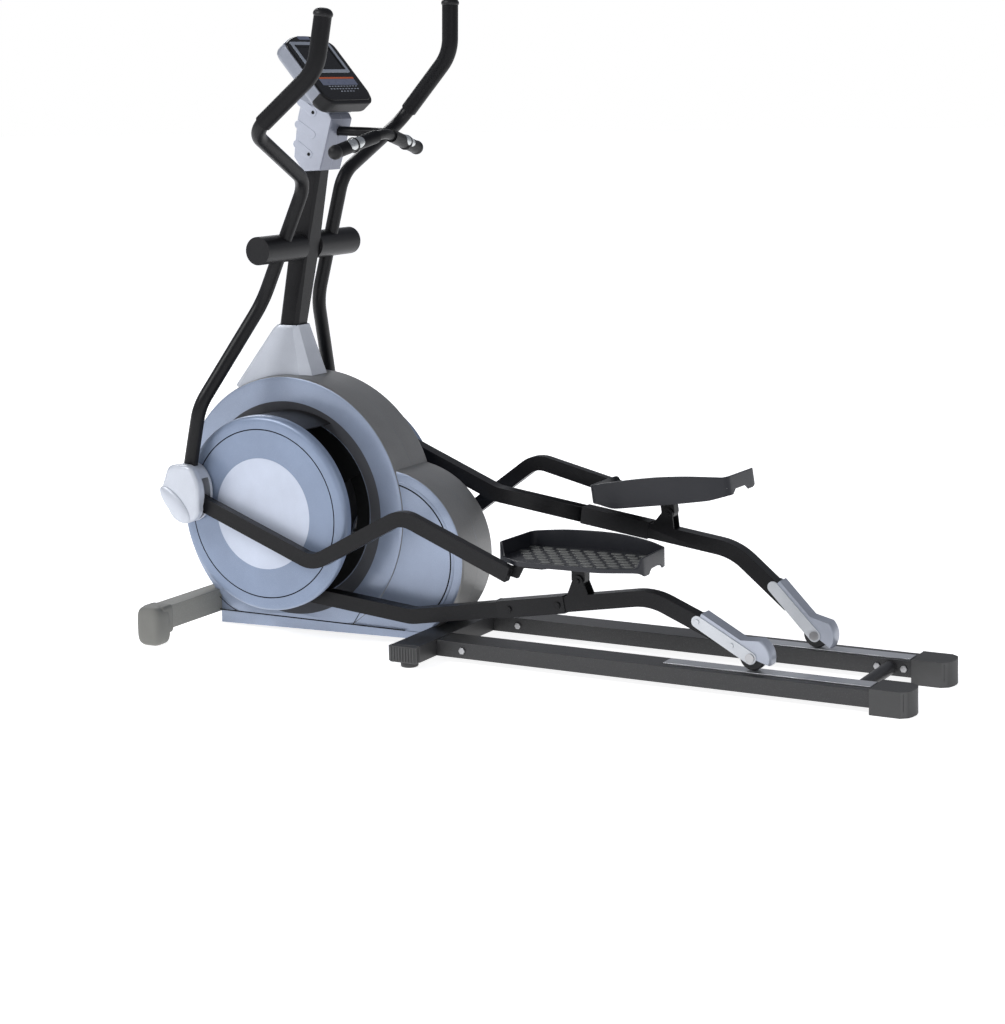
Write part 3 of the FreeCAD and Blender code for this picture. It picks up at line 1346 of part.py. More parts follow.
def pedal_shape(side):
    bottom, floor, wall = size("pedal_bottom"), size("pedal_floor"), size("pedal_wall")
    front, rear = size("pedal_front"), size("pedal_rear")
    inner, outer = size("pedal_inner"), size("pedal_outer")
    plan = pedal_outline(0)
    tray = Part.Face(Part.makePolygon(plan + plan[:1])).extrude(V(0, 0, 150)).common(pedal_side())
    shoe = pedal_outline(wall)
    shoe = Part.Face(Part.makePolygon(shoe + shoe[:1])).extrude(V(0, 0, 150))
    shoe.translate(V(0, 0, bottom + floor))
    low_side = Part.makeBox(600, 100, 150, V(front - 100, outer - 50, size("pedal_rim_outer")))
    under = pedal_outline(wall)[1:6]
    under = [V(front - 30, under[0].y, 0)] + under + [V(under[-1].x, outer + 20, 0), V(front - 30, outer + 20, 0)]
    under = Part.Face(Part.makePolygon(under + under[:1])).extrude(V(0, 0, bottom))
    notch = Part.makeBox(40, 70, bottom, V(rear - 30, outer - 165, 0))
    tray = tray.cut([shoe, low_side, under, notch])
    tray.rotate(V(), V(0, -1, 0), size("pedal_tilt"))
    if side == LEFT:
        tray = tray.mirror(V(), V(0, 1, 0))
    return tray


def pedal_support(side):
    """The deck under the tray, the hinge block below it, and the lug that holds the link tube's end."""
    half = number("arm_width/2-ear_thickness-hub_gap")
    middle = size("arm_offset")
    top = size("pedal_bottom")
    thick = size("support_plate")
    link_inner = number("handle_low_offset-link_width/2")
    plan = [V(-124, link_inner - 9, 0), V(-60, 160, 0), V(-24, middle - half, 0), V(30, middle - half, 0),
            V(30, 160, 0), V(-40, link_inner + 9, 0), V(-108, link_inner + 9, 0), V(-122, link_inner + 1, 0)]
    deck = Part.Face(Part.makePolygon(plan + plan[:1])).extrude(V(0, 0, thick))
    deck.translate(V(0, 0, top - thick))
    block = Part.makeBox(36, 2 * half, top - thick, V(-18, middle - half, 0))
    lug_points = [V(-140, 0, 22), V(-112, 0, 16), V(-96, 0, top - thick), V(-140, 0, top - thick)]
    lug = Part.Face(Part.makePolygon(lug_points + lug_points[:1])).extrude(V(0, 10, 0))
    lug.translate(V(0, link_inner - 9, 0))
    support = deck.fuse([block, lug])
    support.rotate(V(), V(0, -1, 0), size("pedal_tilt"))
    eye = Part.makeCylinder(15, 2 * half, V(0, middle - half, 0), V(0, 1, 0))
    hole = Part.makeCylinder(number("hinge_pin_radius+running_gap"), 100, V(0, middle - 50, 0), V(0, 1, 0))
    support = support.fuse(eye).cut(hole)
    if side == LEFT:
        support = support.mirror(V(), V(0, 1, 0))
    return support


# ---------------------------------------------------------------------------
# Roller arm, bracket, axle and wheel
# ---------------------------------------------------------------------------

# Bends of the roller arm about the roller's axle, as X and Z.
ARM_DIP = (-922.1, -26)
ARM_PEAK = (-262.1, 108)
SLEEVE_FROM = -672
SLEEVE_TO = -488


def on_arm(x):
    """The arm's centre line between its two bends."""
    share = (x - ARM_DIP[0]) / (ARM_PEAK[0] - ARM_DIP[0])
    return V(x, 0, ARM_DIP[1] + share * (ARM_PEAK[1] - ARM_DIP[1]))


def roller_arms():
    wall = size("tube_wall")
    for word, side in SIDES.items():
        pose = POSES[word]
        stand = standing(pose["roller"], pose["arm_angle"])
        lift = V(0, side * size("arm_offset"), 0)
        tip = V(-size("arm_length"), 0, 0)
        to_dip = (V(ARM_DIP[0], 0, ARM_DIP[1]) - tip).normalize()
        width, height = size("arm_width"), size("arm_height")
        half = width / 2
        joint = on_arm((SLEEVE_FROM + SLEEVE_TO) / 2)
        front_path = bent_path([tip + to_dip * (size("crank_tip_radius") - 4), V(ARM_DIP[0], 0, ARM_DIP[1]),
                                joint], [110])
        boss = Part.makeCylinder(size("crank_tip_radius"), width, tip - V(0, half, 0), V(0, 1, 0))
        pin_hole = Part.makeCylinder(9 + size("running_gap"), width + 2, tip - V(0, half + 1, 0), V(0, 1, 0))
        front = square_tube(front_path, width, height, wall).fuse(boss).cut(pin_hole)
        sleeve_path = Part.Wire([Part.LineSegment(on_arm(SLEEVE_FROM), on_arm(SLEEVE_TO)).toShape()])
        slack = 2 * size("running_gap")
        sleeve = swept(sleeve_path, square_section(sleeve_path, width + 2 * wall, height + 2 * wall))
        sleeve = sleeve.cut(swept(sleeve_path, square_section(sleeve_path, width + slack, height + slack)))
        bracket_end = V(-84, 0, 42)
        rear_path = bent_path([joint, V(ARM_PEAK[0], 0, ARM_PEAK[1]), bracket_end], [150])
        pivot = V(-size("pedal_pivot_back"), 0, size("pedal_pivot_up"))
        ears = [ear_shape(pivot, y) for y in (-half, half - size("ear_thickness"))]
        hole = Part.makeCylinder(number("hinge_pin_radius+running_gap"), 200, pivot - V(0, 100, 0), V(0, 1, 0))
        rear = square_tube(rear_path, width, height, wall).fuse(ears).cut(hole)
        pin_in = number("arm_offset-crank_arm_offset-crank_arm_thickness/2") - 0.5
        crank_pin = Part.makeCylinder(9, pin_in + half, tip - V(0, pin_in if side == RIGHT else half, 0),
                                      V(0, 1, 0))
        hinge_pin = Part.makeCylinder(size("hinge_pin_radius"), width + 8, pivot - V(0, half + 4, 0), V(0, 1, 0))
        face = V(0, side * (half + wall), 0)
        screws = [Part.makeCylinder(8, 4, on_arm(x) + face, V(0, side, 0)) for x in (-640, -506)]
        pieces = []
        for label, shape in (("front_tube", front), ("rear_tube", rear), ("sleeve", sleeve),
                             ("crank_pin", crank_pin), ("hinge_pin", hinge_pin),
                             ("screw_1", screws[0]), ("screw_2", screws[1])):
            shape.translate(lift)
            pieces.append(shaped("%s_arm_%s" % (word, label), shape))
        node(word + "_roller_arm", *pieces, placement=stand)
        roller_end(word, side, stand, bracket_end, lift)


def ear_shape(pivot, y):
    """One ear of the clevis, standing on the arm's top."""
    foot = on_arm(pivot.x)
    rise = number("arm_height/2") - 1
    up = V(0, 0, rise)
    polygon = [foot + up + V(-30, 0, -8), foot + up + V(30, 0, 4), pivot + V(14, 0, 0), pivot + V(-14, 0, 0)]
    thick = size("ear_thickness")
    strip = Part.Face(Part.makePolygon(polygon + polygon[:1])).extrude(V(0, thick, 0))
    ear = strip.fuse(Part.makeCylinder(14, thick, pivot, V(0, 1, 0)))
    ear.translate(V(0, y, 0))
    return ear


def roller_end(word, side, stand, bracket_end, lift):
    """The casting over the arm's end and the roller, its side plates, and the roller on its axle."""
    gap = size("seat_gap")
    half = number("arm_width/2") + gap
    side_wall = half + size("bracket_wall")
    outer = side_wall + size("bracket_plate")
    along = V(bracket_end).normalize()
    up = V(-along.z, 0, along.x) * -1
    roof = number("arm_height/2") + gap
    start = along * size("bracket_reach")

    def across(shape_points, reach):
        block = Part.Face(Part.makePolygon(shape_points + shape_points[:1])).extrude(V(0, 2 * reach, 0))
        block.translate(V(0, -reach, 0))
        return block

    def drum(radius, reach, centre=V()):
        return Part.makeCylinder(radius, 2 * reach, V(centre.x, -reach, centre.z), V(0, 1, 0))

    fender = size("fender_radius")
    over = roof + size("bracket_wall") + 1
    body = across([start - up * 10, start + up * over, along * 40 + up * over, up * fender - along * 4,
                   V(0, 0, 0), along * 20 - up * 13], side_wall)
    tip = turned_by(V(2 * fender, 0, 0), -15)
    fan = across([V(), tip, V(2 * fender, 0, 2 * fender), up * 2 * fender], side_wall)
    body = body.fuse(drum(fender, side_wall).common(fan))
    channel = across([start * 2 - up * 40, start * 2 + up * roof, along * 62 + up * roof, along * 62 - up * 40],
                     half)
    pocket = drum(size("roller_radius") + 4, size("roller_width") / 2 + 4)
    body = body.cut([channel, pocket])
    shade = across([V() - up * 8, along * 60 - up * 8, along * 60 - up * 60, V() - up * 60], size("roller_width") / 2 + 4)
    plates = []
    for low in (-outer, side_wall):
        strip = across([start + up * 14, up * 15, up * -15, start - up * 14], size("bracket_plate") / 2)
        plate_shape = strip.fuse([drum(15, size("bracket_plate") / 2),
                                  drum(14, size("bracket_plate") / 2, start)])
        plate_shape.translate(V(0, low + size("bracket_plate") / 2, 0))
        plates.append(plate_shape)
    axle_hole = drum(number("roller_axle_radius+running_gap"), 100)
    bracket = body.cut(shade).fuse(plates).cut(axle_hole).removeSplitter()
    screw_at = [start, along * 53]
    screws = [Part.makeCylinder(6, 3, at + V(0, side * outer, 0), V(0, side, 0)) for at in screw_at]
    pieces = []
    for label, shape in (("bracket", bracket), ("bracket_screw_1", screws[0]), ("bracket_screw_2", screws[1])):
        shape.translate(lift)
        pieces.append(shaped("%s_%s" % (word, label), shape))
    node(word + "_roller_bracket", *pieces, placement=stand)
    head = 3
    axle = drum(size("roller_axle_radius"), outer + gap + head)
    for y in (-outer - gap - head, outer + gap):
        axle = axle.fuse(Part.makeCylinder(11, head, V(0, y, 0), V(0, 1, 0)))
    axle.translate(lift)
    upright = standing(POSES[word]["roller"])
    node(word + "_roller_axle", shaped(word + "_axle", axle.removeSplitter()), placement=upright)
    centre = "%d*arm_offset" % side
    wheel = turned(word + "_wheel_turned", [
        ("roller_axle_radius+running_gap", centre + "-roller_width/2"),
        ("roller_radius-3", centre + "-roller_width/2"), ("roller_radius", centre + "-roller_width/2+3"),
        ("roller_radius", centre + "+roller_width/2-3"), ("roller_radius-3", centre + "+roller_width/2"),
        ("roller_axle_radius+running_gap", centre + "+roller_width/2")])
    node(word + "_roller_wheel", wheel, placement=upright)


# ---------------------------------------------------------------------------
# Build, test and write
# ---------------------------------------------------------------------------

front_stabiliser()
mid_stabiliser()
rails()
frame_bolts()
main_frame()
drive()
housing()
crank_covers()
base_covers()
mast()
boot()
column_covers()
console()
fixed_handlebar()
handlebars()
links()
roller_arms()
doc.recompute()

faults = []
for thing in doc.Objects:
    if "Invalid" in thing.State or "Error" in thing.State:
        faults.append("%s is %s" % (thing.Name, thing.State))
for piece in NODES:
    if piece.Shape.isNull() or not piece.Shape.isValid() or not piece.Shape.Solids:
        faults.append("%s has a bad shape" % piece.Label)
if faults:
    raise RuntimeError("; ".join(faults))

os.makedirs("parts", exist_ok=True)
for piece in NODES:
    piece.Shape.exportStep("parts/%s.step" % piece.Label)
    print("%-26s %2d solids %10.1f cm3" % (piece.Label, len(piece.Shape.Solids), piece.Shape.Volume / 1000))
print(len(NODES), "sub-parts")
for word, pose in POSES.items():
    print(word, {key: (round(v, 2) if isinstance(v, float) else tuple(round(c, 1) for c in v))
                 for key, v in pose.items()})
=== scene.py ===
# %% [markdown]
# An elliptical trainer, dressed for the studio.
#
# The shapes and places of the machine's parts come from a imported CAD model, the frame. This
# lesson loads that frame, rounds the hard edges that a CAD file leaves, models the pieces that
# deserve more care by hand, and gives everything a procedural finish.

# %% The frame
import json
import math

import bmesh
import bpy
from mathutils import Matrix, Vector

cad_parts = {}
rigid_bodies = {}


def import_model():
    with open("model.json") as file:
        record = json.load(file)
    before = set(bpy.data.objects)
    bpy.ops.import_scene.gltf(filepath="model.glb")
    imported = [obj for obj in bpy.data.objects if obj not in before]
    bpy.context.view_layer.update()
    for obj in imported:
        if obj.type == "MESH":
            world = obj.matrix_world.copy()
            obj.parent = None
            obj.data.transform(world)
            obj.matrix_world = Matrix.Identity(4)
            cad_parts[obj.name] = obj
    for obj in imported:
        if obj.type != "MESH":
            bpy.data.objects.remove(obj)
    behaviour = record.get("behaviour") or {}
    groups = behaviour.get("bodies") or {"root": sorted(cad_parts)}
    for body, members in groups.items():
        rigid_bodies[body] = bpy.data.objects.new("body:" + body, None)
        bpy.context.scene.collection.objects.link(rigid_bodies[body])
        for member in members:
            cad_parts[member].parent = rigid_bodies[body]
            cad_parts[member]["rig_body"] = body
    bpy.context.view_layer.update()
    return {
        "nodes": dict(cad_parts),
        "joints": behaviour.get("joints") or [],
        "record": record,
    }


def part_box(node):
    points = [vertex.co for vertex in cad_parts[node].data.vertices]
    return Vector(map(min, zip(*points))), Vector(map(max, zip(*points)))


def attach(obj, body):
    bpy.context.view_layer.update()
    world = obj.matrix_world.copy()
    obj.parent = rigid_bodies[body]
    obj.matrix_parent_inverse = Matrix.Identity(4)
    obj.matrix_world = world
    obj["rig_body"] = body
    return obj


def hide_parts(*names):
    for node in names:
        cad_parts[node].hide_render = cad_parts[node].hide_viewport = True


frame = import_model()
nodes = frame["nodes"]
joints = {joint["name"]: joint for joint in frame["joints"]}

# %% [markdown]
# The machine turns about a few lines: the crank's, the handlebars' and, on each side, the
# pedal's hinge and the roller's axle. The frame gives each joint's place, so every hand-made
# piece below is drawn about one of these points instead of about a number that was typed in.

# %% The main axes
CRANK = Vector(joints["crank_spin"]["pos_m"])
HUB = Vector(joints["left_handlebar_swing"]["pos_m"])
SIDES = {"left": -1, "right": 1}
print("crank", [round(v, 4) for v in CRANK], "handlebar pivot", [round(v, 4) for v in HUB])

# %% [markdown]
# The camera stands at a person's eye height, to the left of the machine and towards its rear,
# some way back, with a long lens, so the rails don't splay. The object sits high in the frame,
# which is done with the lens's shift, as with a view camera. The axes of the camera are built
# from its heading, its tilt and a slight roll, all in degrees.

# %% The camera
def aimed_camera(place, heading, tilt, roll, lens, shift):
    a, e, r = (math.radians(v) for v in (heading, tilt, roll))
    forward = Vector((-math.sin(a) * math.cos(e), math.cos(a) * math.cos(e), -math.sin(e)))
    level = Vector((math.cos(a), math.sin(a), 0))
    rise = level.cross(forward)
    side = level * math.cos(r) + rise * math.sin(r)
    data = bpy.data.cameras.new("camera")
    data.lens, data.sensor_width = lens, 36
    data.shift_x, data.shift_y = shift
    camera = bpy.data.objects.new("camera", data)
    axes = Matrix((side, side.cross(forward), -forward)).transposed().to_4x4()
    camera.matrix_world = Matrix.Translation(place) @ axes
    bpy.context.scene.collection.objects.link(camera)
    return camera


EYE = Vector((CRANK.x + 3.32, -4.8345, 1.4041))
HEADING, TILT, ROLL = 28.87, 6.54, -1.10
LENS, SHIFT = 79.02, (-0.0242, -0.1611)
camera = aimed_camera(EYE, HEADING, TILT, ROLL, LENS, SHIFT)
bpy.context.scene.camera = camera
print("camera", [round(v, 3) for v in camera.location])

# %% [markdown]
# The studio is a pale floor that runs to the horizon. It glows a little, so that it meets the
# white backdrop in one tone, and the machine stands on white with only a soft shadow under it.

# %% The floor
FLOOR_HALF = 60
FLOOR_GLOW = 0.84


def plain_floor():
    mesh = bpy.data.meshes.new("floor")
    bm = bmesh.new()
    bmesh.ops.create_grid(bm, x_segments=2, y_segments=2, size=FLOOR_HALF)
    bm.to_mesh(mesh)
    bm.free()
    floor = bpy.data.objects.new("floor", mesh)
    bpy.context.scene.collection.objects.link(floor)
    material = bpy.data.materials.new("pale_floor")
    material.use_nodes = True
    shader = material.node_tree.nodes["Principled BSDF"]
    shader.inputs["Base Color"].default_value = (0.86, 0.86, 0.87, 1)
    shader.inputs["Roughness"].default_value = 0.7
    shader.inputs["Specular IOR Level"].default_value = 0.1
    shader.inputs["Emission Color"].default_value = (1, 1, 1, 1)
    shader.inputs["Emission Strength"].default_value = FLOOR_GLOW
    mesh.materials.append(material)
    return floor


print("floor", plain_floor().name)

# %% [markdown]
# A large lamp high up on the left, ahead of the machine, models the shapes, a weaker one
# beside the camera opens the shadows, and a third from the far side draws the thin highlights
# that make black tubes readable. Each is a wide rectangle, because a wide lamp gives soft
# shadows.

# %% The lamps
def soft_lamp(name, place, target, size, power):
    data = bpy.data.lights.new(name, "AREA")
    data.shape, data.size, data.size_y = "RECTANGLE", size[0], size[1]
    data.energy = power
    lamp = bpy.data.objects.new(name, data)
    lamp.location = place
    lamp.rotation_euler = (Vector(target) - Vector(place)).to_track_quat("-Z", "Y").to_euler()
    bpy.context.scene.collection.objects.link(lamp)
    return lamp


AIM = (0, 0, 0.7)
soft_lamp("key", (-3.2, -4.2, 4.6), AIM, (3.2, 2.2), 190)
soft_lamp("fill", (4.4, -3.4, 3.0), AIM, (3.0, 3.0), 40)
soft_lamp("rim", (-4.2, 3.2, 4.2), AIM, (3.0, 1.6), 110)

# %% [markdown]
# The dome that lights the machine is darker than the white backdrop, which keeps black tubes
# black. It runs from a pale horizon to a darker top, and the backdrop is plain white.

# %% The dome
HORIZON = (0.05, (0.50, 0.51, 0.54))
ZENITH = (0.45, (0.20, 0.21, 0.24))
world = bpy.data.worlds.new("studio")
world.use_nodes = True
sky = world.node_tree
heading = sky.nodes.new("ShaderNodeTexCoord")
height = sky.nodes.new("ShaderNodeSeparateXYZ")
dome = sky.nodes.new("ShaderNodeValToRGB")
for stop, (rise, colour) in zip(dome.color_ramp.elements, (HORIZON, ZENITH)):
    stop.position, stop.color = rise, (*colour, 1)
rays = sky.nodes.new("ShaderNodeLightPath")
white = sky.nodes.new("ShaderNodeMix")
white.data_type = "RGBA"
white.inputs["B"].default_value = (1, 1, 1, 1)
sky.links.new(rays.outputs["Is Camera Ray"], white.inputs["Factor"])
sky.links.new(dome.outputs["Color"], white.inputs["A"])
sky.links.new(heading.outputs["Generated"], height.inputs["Vector"])
sky.links.new(height.outputs["Z"], dome.inputs["Fac"])
sky.links.new(white.outputs["Result"], sky.nodes["Background"].inputs["Color"])
sky.nodes["Background"].inputs["Strength"].default_value = 1.0
bpy.context.scene.world = world
bpy.context.scene.view_settings.view_transform = "Standard"
print("dome from", HORIZON[1], "to", ZENITH[1])

# %% [markdown]
# Every finish on the machine is built by one recipe: a broad noise shifts the colour and the
# roughness a little, as paint and moulded plastic really vary, a fine noise gives the surface
# its grain through a bump, and an optional speckle adds the flakes of a metallic paint. The
# patterns read Object coordinates, so they stay put when a part moves. What is the same all
# over a surface is set on the shader itself.

# %% The recipe
def finish(name, colour, roughness, metallic=0.0, grain=700, depth=0.06, mottle=0.08, spread=0.06,
           flakes=0.0, flake_scale=1600, stretch=(1, 1, 1), coat=0.0, specular=0.5, wear=0.0):
    material = bpy.data.materials.new(name)
    material.use_nodes = True
    tree = material.node_tree
    shader = tree.nodes["Principled BSDF"]
    shader.inputs["Metallic"].default_value = metallic
    shader.inputs["Coat Weight"].default_value = coat
    shader.inputs["Coat Roughness"].default_value = 0.12
    shader.inputs["Specular IOR Level"].default_value = specular

    def add(kind, **settings):
        made = tree.nodes.new(kind)
        for key, value in settings.items():
            setattr(made, key, value)
        return made

    def link(source, socket):
        tree.links.new(source, socket)

    place = add("ShaderNodeTexCoord")
    mapping = add("ShaderNodeMapping")
    mapping.inputs["Scale"].default_value = stretch
    link(place.outputs["Object"], mapping.inputs["Vector"])

    def noise(scale, detail):
        made = add("ShaderNodeTexNoise")
        made.inputs["Scale"].default_value = scale
        made.inputs["Detail"].default_value = detail
        link(mapping.outputs["Vector"], made.inputs["Vector"])
        return made.outputs["Fac"]

    def ramped(value, low, high, at=(0.3, 0.7)):
        made = add("ShaderNodeValToRGB")
        made.color_ramp.elements[0].position, made.color_ramp.elements[1].position = at
        made.color_ramp.elements[0].color = (*low, 1)
        made.color_ramp.elements[1].color = (*high, 1)
        link(value, made.inputs["Fac"])
        return made.outputs["Color"]

    def mixed(share, under, over):
        made = add("ShaderNodeMix", data_type="RGBA")
        link(share, made.inputs["Factor"])
        link(under, made.inputs["A"])
        if isinstance(over, tuple):
            made.inputs["B"].default_value = (*over, 1)
        else:
            link(over, made.inputs["B"])
        return made.outputs["Result"]

    broad = noise(9, 5)
    fine = noise(grain, 3)
    tone = ramped(broad, [c * (1 - mottle) for c in colour], [min(1, c * (1 + mottle)) for c in colour])
    if flakes:
        cells = add("ShaderNodeTexVoronoi")
        cells.inputs["Scale"].default_value = flake_scale
        link(place.outputs["Object"], cells.inputs["Vector"])
        few = ramped(cells.outputs["Color"], (0, 0, 0), (flakes,) * 3, (0.72, 0.98))
        tone = mixed(few, tone, tuple(min(1, 0.25 + 1.6 * c) for c in colour))
    if wear:
        edge = add("ShaderNodeNewGeometry").outputs["Pointiness"]
        worn = ramped(edge, (0, 0, 0), (wear,) * 3, (0.54, 0.62))
        tone = mixed(worn, tone, tuple(min(1, 0.12 + 1.5 * c) for c in colour))
    link(tone, shader.inputs["Base Color"])
    rough = add("ShaderNodeMapRange")
    rough.inputs["To Min"].default_value = max(0.02, roughness - spread)
    rough.inputs["To Max"].default_value = min(1, roughness + spread)
    link(broad, rough.inputs["Value"])
    link(rough.outputs["Result"], shader.inputs["Roughness"])
    bump = add("ShaderNodeBump")
    bump.inputs["Strength"].default_value = depth
    bump.inputs["Distance"].default_value = 0.001
    link(fine, bump.inputs["Height"])
    link(bump.outputs["Normal"], shader.inputs["Normal"])
    return material


# %% The finishes
METALLIC = dict(grain=1600, depth=0.03, flakes=0.30, flake_scale=2100, coat=0.20)
RECIPES = {
    "frame_black": dict(colour=(0.008, 0.008, 0.009), roughness=0.36, grain=1500, depth=0.10, flakes=0.07,
        flake_scale=1100, wear=0.08, specular=0.20),
    "rail_paint": dict(colour=(0.022, 0.022, 0.023), roughness=0.42, grain=1200, depth=0.12, flakes=0.16,
        flake_scale=900, wear=0.15),
    "stabiliser_grey": dict(colour=(0.205, 0.205, 0.188), roughness=0.52, grain=1000, depth=0.16,
        flakes=0.22, flake_scale=800, wear=0.15),
    "shell_silver": dict(METALLIC, colour=(0.29, 0.345, 0.46), roughness=0.34, metallic=0.30, flakes=0.35,
        coat=0.25),
    "cover_silver": dict(METALLIC, colour=(0.54, 0.57, 0.63), roughness=0.36, metallic=0.20),
    "disc_plastic": dict(METALLIC, colour=(0.215, 0.27, 0.38), roughness=0.38, metallic=0.25, grain=1500),
    "black_plastic": dict(colour=(0.010, 0.010, 0.011), roughness=0.45, grain=900, depth=0.18, wear=0.08,
        specular=0.30),
    "grey_plastic": dict(colour=(0.07, 0.07, 0.072), roughness=0.5, grain=900, depth=0.2, wear=0.1),
    "gloss_black": dict(colour=(0.004, 0.004, 0.005), roughness=0.24, grain=500, depth=0.01, spread=0.03,
        specular=0.3),
    "lcd_glass": dict(colour=(0.045, 0.05, 0.05), roughness=0.10, grain=300, depth=0.005, spread=0.03,
        coat=0.4),
    "bezel_grey": dict(colour=(0.42, 0.46, 0.53), roughness=0.35, metallic=0.4, grain=1600, depth=0.03,
        flakes=0.3),
    "foam": dict(colour=(0.005, 0.005, 0.006), roughness=0.42, grain=650, depth=0.25, mottle=0.2,
        specular=0.18),
    "end_rubber": dict(colour=(0.05, 0.05, 0.05), roughness=0.6, grain=700, depth=0.3, mottle=0.15,
        wear=0.15),
    "roller_rubber": dict(colour=(0.02, 0.02, 0.021), roughness=0.5, grain=600, depth=0.2, mottle=0.15),
    "track_aluminium": dict(colour=(0.62, 0.63, 0.65), roughness=0.3, metallic=0.9, grain=260, depth=0.12,
        stretch=(0.05, 4, 4), mottle=0.05),
    "bracket_silver": dict(colour=(0.58, 0.60, 0.63), roughness=0.38, metallic=0.35, grain=1300, depth=0.05,
        flakes=0.3, wear=0.1),
    "steel": dict(colour=(0.45, 0.45, 0.46), roughness=0.3, metallic=0.95, grain=400, depth=0.08,
        stretch=(3, 0.2, 3)),
    "pulse_steel": dict(colour=(0.58, 0.60, 0.60), roughness=0.24, metallic=0.85, grain=500, depth=0.05),
    "flywheel_iron": dict(colour=(0.16, 0.16, 0.165), roughness=0.4, metallic=0.9, grain=350, depth=0.15,
        mottle=0.15),
    # The next finish is painted shade and reflection: the darker grey on the housing's curved rim.
    "painted_rim_shade": dict(METALLIC, colour=(0.235, 0.235, 0.232), roughness=0.38, metallic=0.25, grain=1500,
        flakes=0.25, coat=0.15),
    "column_silver": dict(METALLIC, colour=(0.42, 0.445, 0.52), roughness=0.36, metallic=0.20),
    # The next finish is painted shade: the darker grey on the column covers' face towards the user.
    "painted_shade_grey": dict(METALLIC, colour=(0.20, 0.215, 0.27), roughness=0.36, metallic=0.25),
    "console_silver": dict(METALLIC, colour=(0.27, 0.29, 0.34), roughness=0.36, metallic=0.30, flakes=0.35),
    "casting_grey": dict(colour=(0.42, 0.45, 0.52), roughness=0.36, metallic=0.35, grain=1300, depth=0.05,
        flakes=0.3, flake_scale=2100),
    "boot_grey": dict(colour=(0.175, 0.175, 0.160), roughness=0.55, grain=900, depth=0.18, mottle=0.12,
        wear=0.12),
    "cone_grey": dict(colour=(0.075, 0.078, 0.088), roughness=0.42, grain=1400, depth=0.04, flakes=0.10),
    "well_black": dict(colour=(0.004, 0.004, 0.004), roughness=0.6, grain=900, depth=0.1, specular=0.2),
    "badge_pale": dict(METALLIC, colour=(0.52, 0.57, 0.68), roughness=0.34, metallic=0.15, grain=1500,
        depth=0.02, flakes=0.25),
    "pedal_black": dict(colour=(0.017, 0.018, 0.023), roughness=0.34, grain=1000, depth=0.14, wear=0.20,
        specular=0.40),
    "tread_grey": dict(colour=(0.125, 0.127, 0.120), roughness=0.5, grain=900, depth=0.2, wear=0.15),
    "label_orange": dict(colour=(0.62, 0.11, 0.02), roughness=0.4, grain=500, depth=0.01),
    "label_blue": dict(colour=(0.16, 0.18, 0.26), roughness=0.4, grain=500, depth=0.01),
    "mark_grey": dict(colour=(0.42, 0.45, 0.52), roughness=0.45, grain=500, depth=0.01),
    "board_green": dict(colour=(0.02, 0.11, 0.05), roughness=0.45, grain=500, depth=0.1),
}
FINISHES = {name: finish(name, **recipe) for name, recipe in RECIPES.items()}
print("finishes", len(FINISHES))

# %% [markdown]
# A CAD solid has knife edges, and a real part has none: sheet metal is folded, tube is drawn,
# plastic leaves its mould with a radius. So a CAD node is copied, its loose triangles are
# merged, its flat facets are dissolved into whole faces, and the sharp edges get a small
# bevel. The copy then stands for the node. Weighted normals keep the flats flat in the light.

# %% Copying and rounding a node
def dressed(bm, name, finish_name, body, sharp=None):
    """An object from a bmesh: shaded, named, finished and riding on its body."""
    mesh = bpy.data.meshes.new(name)
    for face in bm.faces:
        face.smooth = True
    bm.to_mesh(mesh)
    bm.free()
    if sharp:
        mesh.set_sharp_from_angle(angle=math.radians(sharp))
    made = bpy.data.objects.new(name, mesh)
    bpy.context.scene.collection.objects.link(made)
    mesh.materials.append(FINISHES[finish_name])
    weigh = made.modifiers.new("weighted", "WEIGHTED_NORMAL")
    weigh.keep_sharp = True
    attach(made, body)
    return made


def bevelled(bm, edges, width, segments=2):
    """Round some edges by a width."""
    bmesh.ops.bevel(bm, geom=edges, offset=width, offset_type="OFFSET", segments=segments, profile=0.5,
                    affect="EDGES", clamp_overlap=True, material=-1)


def sharp_edges(bm, degrees):
    return [e for e in bm.edges if e.is_manifold and e.calc_face_angle() > math.radians(degrees)]


def merged_copy(node, whole_faces=True):
    """A node's mesh with its loose triangles joined, and its facets too where they are flat."""
    bm = bmesh.new()
    bm.from_mesh(nodes[node].data)
    bmesh.ops.remove_doubles(bm, verts=bm.verts, dist=2e-6)
    if whole_faces:
        bmesh.ops.dissolve_limit(bm, angle_limit=math.radians(0.4), verts=bm.verts, edges=bm.edges)
    return bm


SLOTS = {part["node"]: part["material_slot"] for part in frame["record"]["subparts"]}


def body_of(node):
    return nodes[node]["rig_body"]


def softened(node, width, sharp=60, whole_faces=True):
    """A rounded copy of a node that stands for it."""
    bm = merged_copy(node, whole_faces)
    bevelled(bm, sharp_edges(bm, 28), width)
    piece = dressed(bm, node + "_soft", SLOTS[node], body_of(node), sharp)
    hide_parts(node)
    return piece


